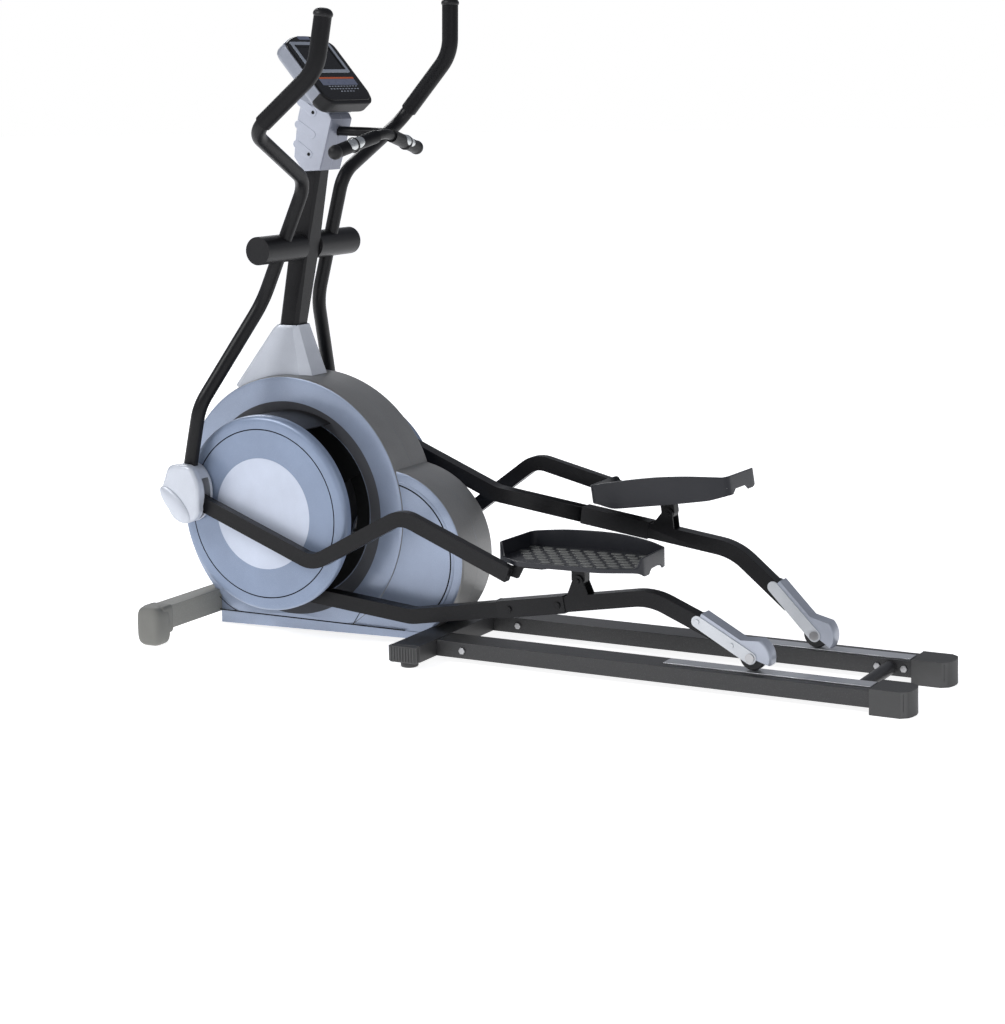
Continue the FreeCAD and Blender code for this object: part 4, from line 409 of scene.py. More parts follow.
ROUNDING = {
    "main_frame": 0.0015, "front_stabiliser": 0.004, "mid_stabiliser": 0.004, "left_rail": 0.004,
    "right_rail": 0.004, "rail_tracks": 0.0008, "rail_cross_tube": 0.0006, "frame_bolts": 0.0008,
    "base_covers": 0.001, "mast": 0.0015, "left_link_arm": 0.0035, "right_link_arm": 0.0035,
    "left_roller_arm": 0.003, "right_roller_arm": 0.003, "mid_stabiliser_caps": 0.004,
    "left_roller_wheel": 0.0005, "right_roller_wheel": 0.0005, "mast_boot": 0.0015,
    "console_back_shell": 0.001, "lcd_bezel": 0.0008, "column_cover_left": 0.0025,
    "column_cover_right": 0.0025, "crank_shrouds": 0.0008, "fixed_handlebar": 0.0006,
}
OWN_FINISH = {"column_cover_left": "column_silver", "column_cover_right": "column_silver",
              "console_back_shell": "console_silver"}
for node, width in ROUNDING.items():
    made = softened(node, width)
    if node in OWN_FINISH:
        made.data.materials[0] = FINISHES[OWN_FINISH[node]]
    print(made.name, len(made.data.polygons))

# %% [markdown]
# Some pieces are moulded in one and still carry two finishes, and some carry painted shade on
# some faces. Such a piece gets a second material, and a rule picks the faces. The column's
# covers come first: they are pale at the sides, and their face towards the user gets a darker
# grey, which is painted shade and not a colour of the cover.

# %% Second finishes and painted shade on one piece
def painted(piece, extra, rule):
    """Give a piece more finishes, and let a rule choose one for each face."""
    for name in extra:
        piece.data.materials.append(FINISHES[name])
    for polygon in piece.data.polygons:
        polygon.material_index = rule(polygon.center, polygon.normal)
    return piece


FACING = 0.5
for word in SIDES:
    # The covers' faces towards the user get painted shade, a darker grey.
    cover = painted(bpy.data.objects["column_cover_%s_soft" % word], ("painted_shade_grey",),
                    lambda point, normal: 1 if normal.x > FACING else 0)
    print(cover.name, sum(p.material_index for p in cover.data.polygons), "darker faces")

# %% [markdown]
# Four measures of the stored pose are needed more than once: the angles at which the link
# arms and the handlebars stand at rest. With them each moving part gets its own drawing
# frame, whose origin is the joint and whose axes turn with the part, so a pedal is drawn flat
# and straight, and lands where the linkage holds it.

# %% Drawing frames of the moving parts
LINK_REST = {"left": -8.19, "right": 0.0}
SWING_REST = {"left": 0.2, "right": 9.71}
HINGE = {word: Vector(joints[word + "_pedal_hinge"]["pos_m"]) for word in SIDES}


def turned_frame(place, angle):
    """A drawing frame at a joint, its X axis lifted by an angle in degrees."""
    return Matrix.Translation((place.x, 0, place.z)) @ Matrix.Rotation(math.radians(-angle), 4, "Y")


LINK = {word: turned_frame(HINGE[word], LINK_REST[word]) for word in SIDES}
HANDLE = {word: turned_frame(HUB, SWING_REST[word]) for word in SIDES}
print("hinges", {word: [round(v, 3) for v in place] for word, place in HINGE.items()})

# %% [markdown]
# The housing is two moulded halves. Its round part has a broad silver ring on the outside, then
# a dark cone that leads into a black well. Its curved rim gets a darker grey, which is painted
# shade and reflection and not a colour of the shell. One mesh with four materials says this
# best: the faces are sorted by their distance from the drum's axis and by the way they look.

# %% The housing
DRUM_RADIUS = 0.346
RING_INNER = 0.280
WELL_RADIUS = 0.236
HOUSING_FACE = 0.084
MIDDLE_HALF = 0.030
SILVER, CONE, WELL, SHADED_RIM = range(4)
shell_low, shell_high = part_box("housing_left_shell")
DRUM = Vector((shell_low[0] + DRUM_RADIUS, 0, shell_high[2] - DRUM_RADIUS))


def reach_from(point, axis):
    return math.hypot(point.x - axis.x, point.z - axis.z)


def drum_zone(point, normal):
    reach = reach_from(point, DRUM)
    # Faces of the curved rim get painted shade and reflection, a darker grey.
    if abs(normal.y) < FACING and reach > RING_INNER + 0.02:
        return SHADED_RIM
    if reach > RING_INNER - 0.0005 or abs(point.y) < MIDDLE_HALF:
        return SILVER
    return CONE if reach > WELL_RADIUS + 0.001 else WELL


for word in SIDES:
    shell = softened("housing_%s_shell" % word, 0.0010, 40, whole_faces=False)
    painted(shell, ("cone_grey", "well_black", "painted_rim_shade"), drum_zone)
    print(shell.name, len(shell.data.polygons))

# %% [markdown]
# Round covers, trims and caps are turned, as on a lathe: a profile is drawn in one half plane
# and spun about the axis. The profile itself carries the rounded rim and the groove, so each
# ring of it catches a thin line of light.

# %% Turning, and the crank covers
def lathe(profile, centre, side, steps=144):
    """A body of revolution about Y, from a profile of radius and distance from the middle."""
    bm = bmesh.new()
    line = [bm.verts.new((centre.x + radius, side * y, centre.z)) for radius, y in profile]
    edges = [bm.edges.new(pair) for pair in zip(line, line[1:])]
    bmesh.ops.spin(bm, geom=line + edges, cent=(centre.x, 0, centre.z), axis=(0, 1, 0), angle=math.tau,
                   steps=steps, use_merge=True)
    bmesh.ops.remove_doubles(bm, verts=bm.verts, dist=1e-6)
    bmesh.ops.recalc_face_normals(bm, faces=bm.faces)
    return bm


COVER_RADIUS = 0.252
COVER_FACE = 0.226
BADGE_RADIUS = 0.143
GROOVE = (0.2155, 0.2185)


def cover_zone(point, _):
    reach = reach_from(point, CRANK)
    if abs(point.y) < COVER_FACE - 0.0040 and GROOVE[0] - 0.002 < reach < GROOVE[1] + 0.002:
        return 0
    if GROOVE[0] < reach < GROOVE[1]:
        return 2
    return 1 if reach < BADGE_RADIUS and abs(point.y) > COVER_FACE - 0.002 else 0


for word, side in SIDES.items():
    profile = [(0, COVER_FACE), (BADGE_RADIUS - 0.001, COVER_FACE), (BADGE_RADIUS, COVER_FACE - 0.0008),
               (GROOVE[0], COVER_FACE - 0.001), (GROOVE[0] + 0.0004, COVER_FACE - 0.003),
               (GROOVE[1] - 0.0004, COVER_FACE - 0.003), (GROOVE[1], COVER_FACE - 0.001),
               (COVER_RADIUS - 0.016, COVER_FACE - 0.001), (COVER_RADIUS - 0.009, COVER_FACE - 0.0025),
               (COVER_RADIUS - 0.0045, COVER_FACE - 0.0055), (COVER_RADIUS - 0.0012, COVER_FACE - 0.010),
               (COVER_RADIUS, COVER_FACE - 0.015), (COVER_RADIUS, COVER_FACE - 0.026),
               (COVER_RADIUS - 0.003, COVER_FACE - 0.026), (COVER_RADIUS - 0.003, COVER_FACE - 0.014),
               (COVER_RADIUS - 0.014, COVER_FACE - 0.0045), (0, COVER_FACE - 0.004)]
    disc = dressed(lathe(profile, CRANK, side), word + "_disc", "disc_plastic", "frame",
                   50)
    painted(disc, ("badge_pale", "well_black"), cover_zone)
    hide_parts(word + "_crank_cover")
print("crank covers", COVER_RADIUS * 2)

# %% [markdown]
# Turned rings finish the housing. A bright lip runs round the mouth of the well, a thin liner
# and a smooth cone cover its walls, and a raised line follows the rim of the rear lobe. The
# lobe's rings are turned whole, and then the stretch that would lie inside the drum or below
# the lobe's foot is taken away.

# %% Rings on the housing
LOBE = DRUM + Vector((0.293, 0, -0.102))
LOBE_FACE = 0.0778
LINE_FOOT = 0.078
WELL_FACE = 0.0675
LINER_RADIUS = 0.186
LINES = ((0.196, "shell_silver", 0.0014), (0.188, "well_black", 0.0005))


def bead(centre, radius, y, side, width, height=0.0016):
    """A thin raised ring round an axis, rooted a millimetre under the face at y."""
    profile = [(radius - width, y - 0.001), (radius - width * 0.6, y + height * 0.8), (radius, y + height),
               (radius + width * 0.6, y + height * 0.8), (radius + width, y - 0.001)]
    return lathe(profile, centre, side)


for word, side in SIDES.items():
    lip = bead(DRUM, WELL_RADIUS + 0.004, WELL_FACE, side, 0.0030)
    dressed(lip, word + "_well_lip", "shell_silver", "frame")
    liner = [(LINER_RADIUS, 0.0480), (WELL_RADIUS + 0.0002, 0.0600), (WELL_RADIUS + 0.0002, 0.0580),
             (LINER_RADIUS, 0.0460), (LINER_RADIUS, 0.0480)]
    dressed(lathe(liner, DRUM, side), word + "_well_liner", "well_black", "frame", 40)
    cone = [(RING_INNER + 0.0003, HOUSING_FACE + 0.0003), (WELL_RADIUS + 0.0002, WELL_FACE + 0.0001),
            (WELL_RADIUS, 0.0560), (WELL_RADIUS + 0.0010, 0.0560),
            (RING_INNER + 0.0003, HOUSING_FACE - 0.0020), (RING_INNER + 0.0003, HOUSING_FACE + 0.0003)]
    cone = dressed(lathe(cone, DRUM, side), word + "_well_cone", "cone_grey", "frame", 40)
    painted(cone, ("well_black",),
            lambda point, _: 1 if reach_from(point, DRUM) < WELL_RADIUS + 0.0012 else 0)
    for radius, finish_name, height in LINES:
        bm = bead(LOBE, radius, LOBE_FACE, side, 0.0030, height)
        inside = [f for f in bm.faces if reach_from(f.calc_center_median(), DRUM) < DRUM_RADIUS - 0.002
                  or f.calc_center_median().z < LINE_FOOT]
        bmesh.ops.delete(bm, geom=inside, context="FACES")
        dressed(bm, "%s_lobe_line_%s" % (word, finish_name), finish_name, "frame")
print("well", WELL_RADIUS, "lobe lines", [radius for radius, _, _ in LINES])

# %% [markdown]
# The handlebars' foam sleeves are soft tubes round a bent path. A Bezier curve with a round
# bevel is the shortest way to such a piece: two knots at each bend, with handles of the length
# that makes a true arc, keep the straight runs straight.

# %% The foam sleeves
def bent_tube(name, points, bends, radius, finish_name, body):
    """A round bar through some points, with an arc of a given radius at each inner point."""
    knots = [(points[0], points[1] - points[0], 0)]
    for before, corner, after, bend in zip(points, points[1:], points[2:], bends):
        come, leave = (corner - before).normalized(), (after - corner).normalized()
        half = come.angle(leave) / 2
        reach, pull = bend * math.tan(half), bend * 4 / 3 * math.tan(half / 2)
        knots += [(corner - come * reach, come, pull), (corner + leave * reach, leave, pull)]
    knots.append((points[-1], points[-1] - points[-2], 0))
    data = bpy.data.curves.new(name, "CURVE")
    data.dimensions, data.bevel_depth, data.bevel_resolution = "3D", radius, 8
    data.resolution_u, data.use_fill_caps = 14, True
    spline = data.splines.new("BEZIER")
    spline.bezier_points.add(len(knots) - 1)
    for knot, (place, heading, pull) in zip(spline.bezier_points, knots):
        knot.handle_left_type = knot.handle_right_type = "FREE"
        knot.co = place
        step = heading.normalized() * (pull or 0.01)
        knot.handle_left, knot.handle_right = place - step, place + step
    data.materials.append(FINISHES[finish_name])
    tube = bpy.data.objects.new(name, data)
    bpy.context.scene.collection.objects.link(tube)
    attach(tube, body)
    return tube


HANDLE_TOP = Vector((0.3336, 0, 0.5777))
HANDLE_SHOULDER = Vector((0.3068, 0, 0.4446))
HANDLE_ELBOW = Vector((0.1217, 0, 0.3002))
SPREAD = 0.378
FOAM_RADIUS = 0.0217
FOAM_BEND = 0.110
CAP_PROFILE = [(0.0, 0.0138), (0.010, 0.0130), (0.0165, 0.0108), (0.0208, 0.0070), (0.0236, 0.0020),
               (0.0240, -0.0015), (0.0233, -0.0050), (0.0212, -0.0072), (0.0, -0.0072)]


def on_axis(bm, place, heading):
    """Stand a turned piece, drawn about Y, on a place with a heading."""
    turn = Vector((0, 1, 0)).rotation_difference(heading).to_matrix().to_4x4()
    bmesh.ops.transform(bm, matrix=Matrix.Translation(place) @ turn, verts=bm.verts)
    return bm


for word, side in SIDES.items():
    top, shoulder, elbow = (HANDLE[word] @ (p + Vector((0, side * SPREAD, 0)))
                            for p in (HANDLE_TOP, HANDLE_SHOULDER, HANDLE_ELBOW))
    up = (top - shoulder).normalized()
    down = (elbow - shoulder).normalized()
    foam = bent_tube(word + "_foam", [top - up * 0.006, shoulder, elbow - down * 0.036], [FOAM_BEND],
                     FOAM_RADIUS, "foam", word + "_handlebar")
    dressed(on_axis(lathe(CAP_PROFILE, Vector(), 1, 48), top, up), word + "_foam_cap", "black_plastic",
            word + "_handlebar", 60)
    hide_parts(word + "_grip")
    print(foam.name, "from", [round(v, 3) for v in top])

# %% [markdown]
# The fixed bar has shorter foam grips with a ball at each end. On each grip lies a pulse
# sensor: a leaf of bright sheet in two halves with a black band between. Where an ellipsoid
# comes out of a cylinder, its edge is just such a leaf, so the leaf is a stretched sphere sunk
# into the grip.

# %% The fixed bar's grips and sensors
BAR_END = Vector((CRANK.x + 0.230, 0.190, 1.259))
BAR_MIDDLE = Vector((CRANK.x + 0.256, 0, 1.302))
BAR_GRIP_RADIUS = 0.0172
BAR_GRIP_LENGTH = 0.158
BALL_RADIUS = 0.0186
SENSOR_REACH = 0.070
LEAF_HEADING = Vector((0.84, 0, 0.54))
LEAF_AXES, LEAF_SUNK = (0.047, 0.0158, 0.0125), 0.0068
BAND_PROFILE = [(0.0165, -0.0032), (0.0198, -0.0028), (0.0202, 0), (0.0198, 0.0028), (0.0165, 0.0032)]


def ellipsoid(axes, frame_matrix):
    bm = bmesh.new()
    bmesh.ops.create_uvsphere(bm, u_segments=40, v_segments=20, radius=1)
    bmesh.ops.transform(bm, matrix=frame_matrix @ Matrix.Diagonal((*axes, 1)), verts=bm.verts)
    return bm


def axes_frame(place, along, out):
    """A frame with its X axis along a bar and its Z axis as near as can be to a heading."""
    x = along.normalized()
    y = out.cross(x).normalized()
    return Matrix.Translation(place) @ Matrix((x, y, x.cross(y))).transposed().to_4x4()


leaves, grips = [], []
for word, side in SIDES.items():
    end = Vector((BAR_END.x, side * BAR_END.y, BAR_END.z))
    inward = (BAR_MIDDLE - end).normalized()
    grip = bent_tube(word + "_bar_grip", [end, end + inward * BAR_GRIP_LENGTH], [], BAR_GRIP_RADIUS,
                     "foam", "frame")
    grips.append(grip)
    ball = ellipsoid((BALL_RADIUS, BALL_RADIUS, BALL_RADIUS), Matrix.Translation(end))
    dressed(ball, word + "_bar_ball", "black_plastic", "frame")
    middle = end + inward * SENSOR_REACH
    lie = axes_frame(middle, inward, LEAF_HEADING)
    leaf = ellipsoid(LEAF_AXES, lie @ Matrix.Translation((0, 0, LEAF_SUNK)))
    leaves.append(dressed(leaf, word + "_pulse_leaf", "pulse_steel", "frame"))
    band = on_axis(lathe(BAND_PROFILE, Vector(), 1, 48), middle, inward)
    dressed(band, word + "_pulse_band", "black_plastic", "frame")
for leaf in leaves:
    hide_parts("pulse_plates")
for grip in grips:
    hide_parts("fixed_handlebar_grips")
print("leaves", len(leaves))

# %% [markdown]
# A pedal is a moulded tray for one shoe. Its plan is drawn with straight runs and its corners
# are rounded by a vertex bevel. The wall is the plan's rim, inset, extruded and then shaped: a
# high arched wall on the inner side and at both ends, a low one outside, and a keel below. The
# tread is rows of flat, rounded pads.

# %% The pedal's measures
PEDAL_TILT = 8.3
PEDAL_FLOOR = 0.050
PEDAL_WALL = 0.005
FLOOR_THICK = 0.006
PEDAL_PLAN = [(-0.185, 0.203), (-0.174, 0.050), (-0.090, 0.034), (0.060, 0.032), (0.150, 0.044),
              (0.197, 0.062), (0.205, 0.214), (0.110, 0.252), (-0.106, 0.258)]
TRAY = {word: LINK[word] @ Matrix.Rotation(math.radians(-PEDAL_TILT), 4, "Y") for word in SIDES}


def eased(value, low, high):
    """A smooth step from 0 to 1 between two limits."""
    share = min(1, max(0, (value - low) / (high - low)))
    return share * share * (3 - 2 * share)


def rim_height(x, y):
    """The wall's upper edge: an arch along the inner side, low outside."""
    arch = 0.102 - 0.014 * (x / 0.165) ** 2 if x > 0 else 0.102 - 0.0105 * (x / 0.19) ** 2
    arch = max(arch, 0.0845)
    return arch + (0.061 - arch) * eased(y, 0.206, 0.217)


def keel_height(x, y):
    """The wall's lower edge: deep on the inner side, with a notch at the rear."""
    ends = 0.032 + 0.016 * eased(-x, 0.10, 0.175) + 0.006 * eased(x, 0.14, 0.2)
    outer = eased(y, 0.062, 0.080) if x < 0.19 else eased(y, 0.19, 0.22)
    notch = eased(y, 0.090, 0.096) * (1 - eased(y, 0.158, 0.164)) * (x > 0.19)
    return ends + (0.0492 - ends) * max(outer, notch)


def extruded(bm):
    """Pull a flat face into a block, and give the corners that are free to move."""
    raised = bmesh.ops.extrude_face_region(bm, geom=list(bm.faces))["geom"]
    return [v for v in raised if isinstance(v, bmesh.types.BMVert)]


def round_corners(bm, radius, segments=6):
    bmesh.ops.bevel(bm, geom=list(bm.verts), offset=radius, offset_type="OFFSET", segments=segments,
                    profile=0.5, affect="VERTICES", clamp_overlap=True, material=-1)


def rounded_plan(corners, radius, inset=0.0, step=0.008):
    """A flat face with rounded corners, its rim cut into short pieces."""
    bm = bmesh.new()
    bm.faces.new([bm.verts.new((x, y, 0)) for x, y in corners])
    round_corners(bm, radius)
    if inset:
        ring = bmesh.ops.inset_region(bm, faces=list(bm.faces), thickness=inset, use_boundary=True,
                                      use_even_offset=True)["faces"]
        bmesh.ops.delete(bm, geom=ring, context="FACES")
    while any(e.calc_length() > step for e in bm.edges):
        bmesh.ops.subdivide_edges(bm, edges=[e for e in bm.edges if e.calc_length() > step], cuts=1)
    return bm


def tray_wall():
    bm = rounded_plan(PEDAL_PLAN, 0.016)
    outer_face = list(bm.faces)
    ring = bmesh.ops.inset_region(bm, faces=outer_face, thickness=PEDAL_WALL, use_boundary=True,
                                  use_even_offset=True)["faces"]
    bmesh.ops.delete(bm, geom=[f for f in bm.faces if f not in ring], context="FACES_ONLY")
    tops = set(extruded(bm))
    for vert in bm.verts:
        height = rim_height if vert in tops else keel_height
        vert.co.z = height(vert.co.x, vert.co.y)
    bmesh.ops.recalc_face_normals(bm, faces=bm.faces)
    bevelled(bm, sharp_edges(bm, 50), 0.0018, 3)
    return bm


def tray_floor():
    bm = rounded_plan(PEDAL_PLAN, 0.014, PEDAL_WALL / 2, 0.03)
    bmesh.ops.translate(bm, vec=(0, 0, FLOOR_THICK), verts=extruded(bm))
    bmesh.ops.translate(bm, vec=(0, 0, PEDAL_FLOOR), verts=bm.verts)
    bmesh.ops.recalc_face_normals(bm, faces=bm.faces)
    return bm


PAD_SIZE = (0.031, 0.017, 0.0020)
PAD_PITCH = (0.0375, 0.0255)


def tread_pad(x, y):
    """A flat six-sided pad on the tray's floor, with its upper rim rounded."""
    bm = bmesh.new()
    bmesh.ops.create_circle(bm, cap_ends=True, segments=6, radius=0.5)
    bmesh.ops.transform(bm, matrix=Matrix.Translation((x, y, PEDAL_FLOOR + FLOOR_THICK - 0.0002))
                        @ Matrix.Diagonal((PAD_SIZE[0], PAD_SIZE[1], 1, 1)), verts=bm.verts)
    bmesh.ops.translate(bm, vec=(0, 0, PAD_SIZE[2]), verts=extruded(bm))
    bmesh.ops.recalc_face_normals(bm, faces=bm.faces)
    bevelled(bm, [e for e in bm.edges if all(v.co.z > PEDAL_FLOOR + FLOOR_THICK for v in e.verts)], 0.0013, 2)
    return bm


def tread():
    """Staggered rows of pads, as far as the tray's slanted ends leave room."""
    pads = []
    for row in range(7):
        y = 0.068 + row * PAD_PITCH[1]
        front = -0.160 + max(0, y - 0.150) * 1.1
        rear = 0.186 - max(0, y - 0.190) * 0.9
        for column in range(10):
            x = -0.158 + column * PAD_PITCH[0] + (row % 2) * PAD_PITCH[0] / 2
            if front < x < rear:
                pads.append(tread_pad(x, y))
    return pads


def poured(parts, matrix):
    """Several bmeshes in one, moved by a matrix."""
    whole = bmesh.new()
    for part in parts:
        held = bpy.data.meshes.new("held")
        part.to_mesh(held)
        part.free()
        whole.from_mesh(held)
        bpy.data.meshes.remove(held)
    bmesh.ops.transform(whole, matrix=matrix, verts=whole.verts)
    bmesh.ops.recalc_face_normals(whole, faces=whole.faces)
    return whole


for word, side in SIDES.items():
    place = TRAY[word] @ Matrix.Diagonal((1, side, 1, 1))
    tray = dressed(poured([tray_wall(), tray_floor()], place), word + "_tray", "pedal_black",
                   word + "_pedal_link", 45)
    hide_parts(word + "_pedal")
    pads = dressed(poured(tread(), place), word + "_tread", "tread_grey", word + "_pedal_link",
                   45)
    print(tray.name, len(tray.data.polygons), "tread", len(pads.data.polygons))

# %% [markdown]
# The console is drawn in its own frame: X runs down its face, Y across it and Z out of it.
# Everything on it starts as an outline that is pulled into a slab, so the outline's curves are
# worked out once, and its case, front plate and lip share them.

# %% The console's frame and outlines
CONSOLE_TOP = Vector((CRANK.x + 0.025, 0, 1.542))
CONSOLE_TILT = 49.7
CONSOLE = Matrix.Translation(CONSOLE_TOP) @ Matrix.Rotation(math.radians(CONSOLE_TILT), 4, "Y")
CONSOLE_END = 0.2072
SHELL_HALF = 0.1113
ARCH = 0.016
ARCH_END = 0.092
LOWER_ROUND = 0.034


def level_edges(bm, z):
    return [e for e in bm.edges if all(abs(v.co.z - z) < 1e-6 for v in e.verts)]


def slab(outline, z, radius, rounding, segments=6):
    """A flat block over an outline, with its corners rounded and then its top rim."""
    bm = bmesh.new()
    bm.faces.new([bm.verts.new((x, y, z[0])) for x, y in outline])
    if radius:
        round_corners(bm, radius, segments)
    bmesh.ops.translate(bm, vec=(0, 0, z[1] - z[0]), verts=extruded(bm))
    bmesh.ops.recalc_face_normals(bm, faces=bm.faces)
    if rounding:
        bevelled(bm, level_edges(bm, z[1]), rounding, 5)
    return bm


def panel(x, y, z, radius=0.0, rounding=0.0, segments=6):
    return slab([(x[0], y[0]), (x[1], y[0]), (x[1], y[1]), (x[0], y[1])], z, radius, rounding, segments)


def lower_corner(end, half_width, radius):
    """Points round a lower corner of the console, from its side to its end."""
    turns = [math.radians(9 * k) for k in range(11)]
    return [(end - radius + radius * math.sin(turn), half_width - radius + radius * math.cos(turn))
            for turn in turns]


def both_halves(half):
    return half + [(x, -y) for x, y in reversed(half) if y > 0]


def console_outline(inset):
    """Half of the console's plan is an arched top, a straight side and a round lower corner."""
    half = [(-ARCH + 0.019 * (k / 12) ** 2.3, ARCH_END * k / 12) for k in range(13)]
    half += [(0.0062, 0.0990), (0.0112, 0.1058), (0.0190, 0.1098), (0.0300, SHELL_HALF), (0.110, SHELL_HALF)]
    half += lower_corner(CONSOLE_END, SHELL_HALF, LOWER_ROUND)
    centre, reach = 0.095, 0.105
    return [(centre + (x - centre) * (1 - inset / reach), y * (1 - inset / SHELL_HALF))
            for x, y in both_halves(half)]


print("console outline", len(console_outline(0)), "points")

# %% [markdown]
# The case is a deep shell with a round back, the front is a glossy black plate of the same
# outline, and a full, rounded lip of black plastic wraps the lower end.

# %% The console's case, front and lip
CASE_Z, FACE_Z, LIP_Z = (-0.0466, -0.0044), (-0.0070, 0.0), (-0.0471, -0.0030)
LIP_START, LIP_END = 0.177, 0.2150


def on_console(parts, name, finish_name, sharp=40):
    return dressed(poured(parts, CONSOLE), name, finish_name, "frame", sharp)


case = slab(console_outline(0.0), CASE_Z, 0, 0.0025)
bevelled(case, level_edges(case, CASE_Z[0]), 0.017, 6)
on_console([case], "console_case", "console_silver", 60)
face = slab(console_outline(0.0028), FACE_Z, 0, 0.0030)
face = on_console([face], "console_front", "gloss_black", sharp=50)
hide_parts("console_face")
lip = slab(both_halves(lower_corner(LIP_END, SHELL_HALF + 0.0005, LIP_END - LIP_START)), LIP_Z, 0, 0.0036)
under = [e for e in level_edges(lip, LIP_Z[0]) if any(v.co.x > LIP_START + 1e-6 for v in e.verts)]
bevelled(lip, under, 0.0185, 9)
on_console([lip], "console_lip", "black_plastic", sharp=60)
print("console", face.name, len(face.data.polygons))

# %% [markdown]
# Printed strips and small marks are thin raised panels, because a step of a few tenths of a
# millimetre is what a label really has. The marks are plain ticks and say nothing.

# %% The display's border, the strips and the marks
SCREEN_X, SCREEN_Y = (0.020, 0.1022), (-0.0765, 0.0765)
BORDER_Z, LABEL_Z, MARK_Z = (-0.002, 0.0012), (-0.001, 0.0004), (-0.001, 0.00035)
MARK_ROWS = ((0.1585, -0.054, 0.071), (0.1672, -0.054, 0.068), (0.1752, -0.014, 0.046))
MARK_PITCH = 0.0135
border = [panel((SCREEN_X[0], 0.0262), SCREEN_Y, BORDER_Z), panel((0.0985, SCREEN_X[1]), SCREEN_Y, BORDER_Z),
          panel(SCREEN_X, (SCREEN_Y[0], -0.0715), BORDER_Z), panel(SCREEN_X, (0.0705, SCREEN_Y[1]), BORDER_Z)]
on_console(border, "lcd_border", "gloss_black")
on_console([panel((0.1280, 0.1335), (-0.074, 0.083), LABEL_Z)], "orange_strip", "label_orange")
on_console([panel((0.1342, 0.1545), (-0.078, 0.0815), LABEL_Z)], "mode_strip", "label_blue")
marks = []
for x, start, end in MARK_ROWS:
    for k in range(round((end - start) / MARK_PITCH) + 1):
        y = start + k * MARK_PITCH
        marks.append(panel((x - 0.0012, x + 0.0012), (y - 0.0035, y + 0.0035), MARK_Z))
on_console(marks, "console_marks", "mark_grey")
on_console([panel((-0.0105, 0.0010), (-0.036, 0.016), (-0.001, 0.0006), 0.003)], "top_patch", "label_blue")
print("console pieces with", len(marks), "marks")

# %% [markdown]
# The column's covers carry three slanted pads on each side, raised a little, with a round lower
# end. Two of them hold a sunk screw. Each pad is a strip with its corners rounded until it is a
# pill, extruded and bevelled.

# %% Pads and screws on the column
PADS = (((0.0330, 1.3830), (0.0713, 1.3560)), ((0.0240, 1.3260), (0.0655, 1.2998)),
        ((0.0175, 1.2760), (0.0545, 1.2498)))
PAD_HALF = 0.0105
COVER_SIDE = 0.048
CUP_PROFILE = [(0.0, COVER_SIDE + 0.0019), (0.0034, COVER_SIDE + 0.0019), (0.0038, COVER_SIDE + 0.0023),
               (0.0045, COVER_SIDE + 0.0022), (0.0047, COVER_SIDE + 0.0012)]


def pill(start, end):
    """A raised strip with round ends, drawn from one point of the side to another."""
    run = Vector((end[0] - start[0], 0, end[1] - start[1]))
    along, across = run.normalized(), Vector((0, 1, 0))
    bm = panel((-PAD_HALF, run.length + PAD_HALF), (-PAD_HALF, PAD_HALF),
               (COVER_SIDE - 0.001, COVER_SIDE + 0.0016), PAD_HALF * 0.98, 0.0012, 8)
    lie = Matrix((along, along.cross(across), -across)).transposed().to_4x4()
    place = Matrix.Translation((CRANK.x + start[0], 0, start[1]))
    bmesh.ops.transform(bm, matrix=place @ lie, verts=bm.verts)
    return bm


for word, side in SIDES.items():
    mirror = Matrix.Diagonal((1, -side, 1, 1))
    pads = [pill(start, end) for start, end in PADS]
    dressed(poured(pads, mirror), word + "_column_pads", "column_silver", "frame", 50)
    holes = [lathe(CUP_PROFILE, Vector((CRANK.x + end[0], 0, end[1])), -1, 32)
             for _, end in (PADS[0], PADS[2])]
    dressed(poured(holes, mirror), word + "_column_screws", "well_black", "frame", 50)
print("column pads", len(PADS) * 2)

# %% [markdown]
# Over each joint of handlebar and link arm sits a smooth white shell. Its outer face is a
# seven-sided plate with soft corners, and a leaf-shaped swell lies across it: a flat
# ellipsoid, half sunk. The plate is drawn for the left side at rest, and REST_HANDLE turns it
# with either handlebar.

# %% The joint covers
PLATE_CORNERS = ((-0.268, 0.402), (-0.243, 0.4655), (-0.171, 0.4665), (-0.148, 0.418), (-0.151, 0.336),
                 (-0.188, 0.3125), (-0.268, 0.364))
PLATE_Y = (0.2745, 0.2962)
SHELL_FOLD = 0.270
SWELL = Vector((-0.2235, 0, 0.3640))
SWELL_AXES, SWELL_TILT = (0.060, 0.0088, 0.0235), 44
FLATTENED = 0.65
REST_HANDLE = HANDLE["left"].inverted() @ Matrix.Translation((CRANK.x, 0, 0))


def upright(side):
    """Stand a plan drawn in X and Y upright, so that its Z axis points out of one side."""
    return Matrix(((1, 0, 0, 0), (0, 0, side, 0), (0, 1, 0, 0), (0, 0, 0, 1)))


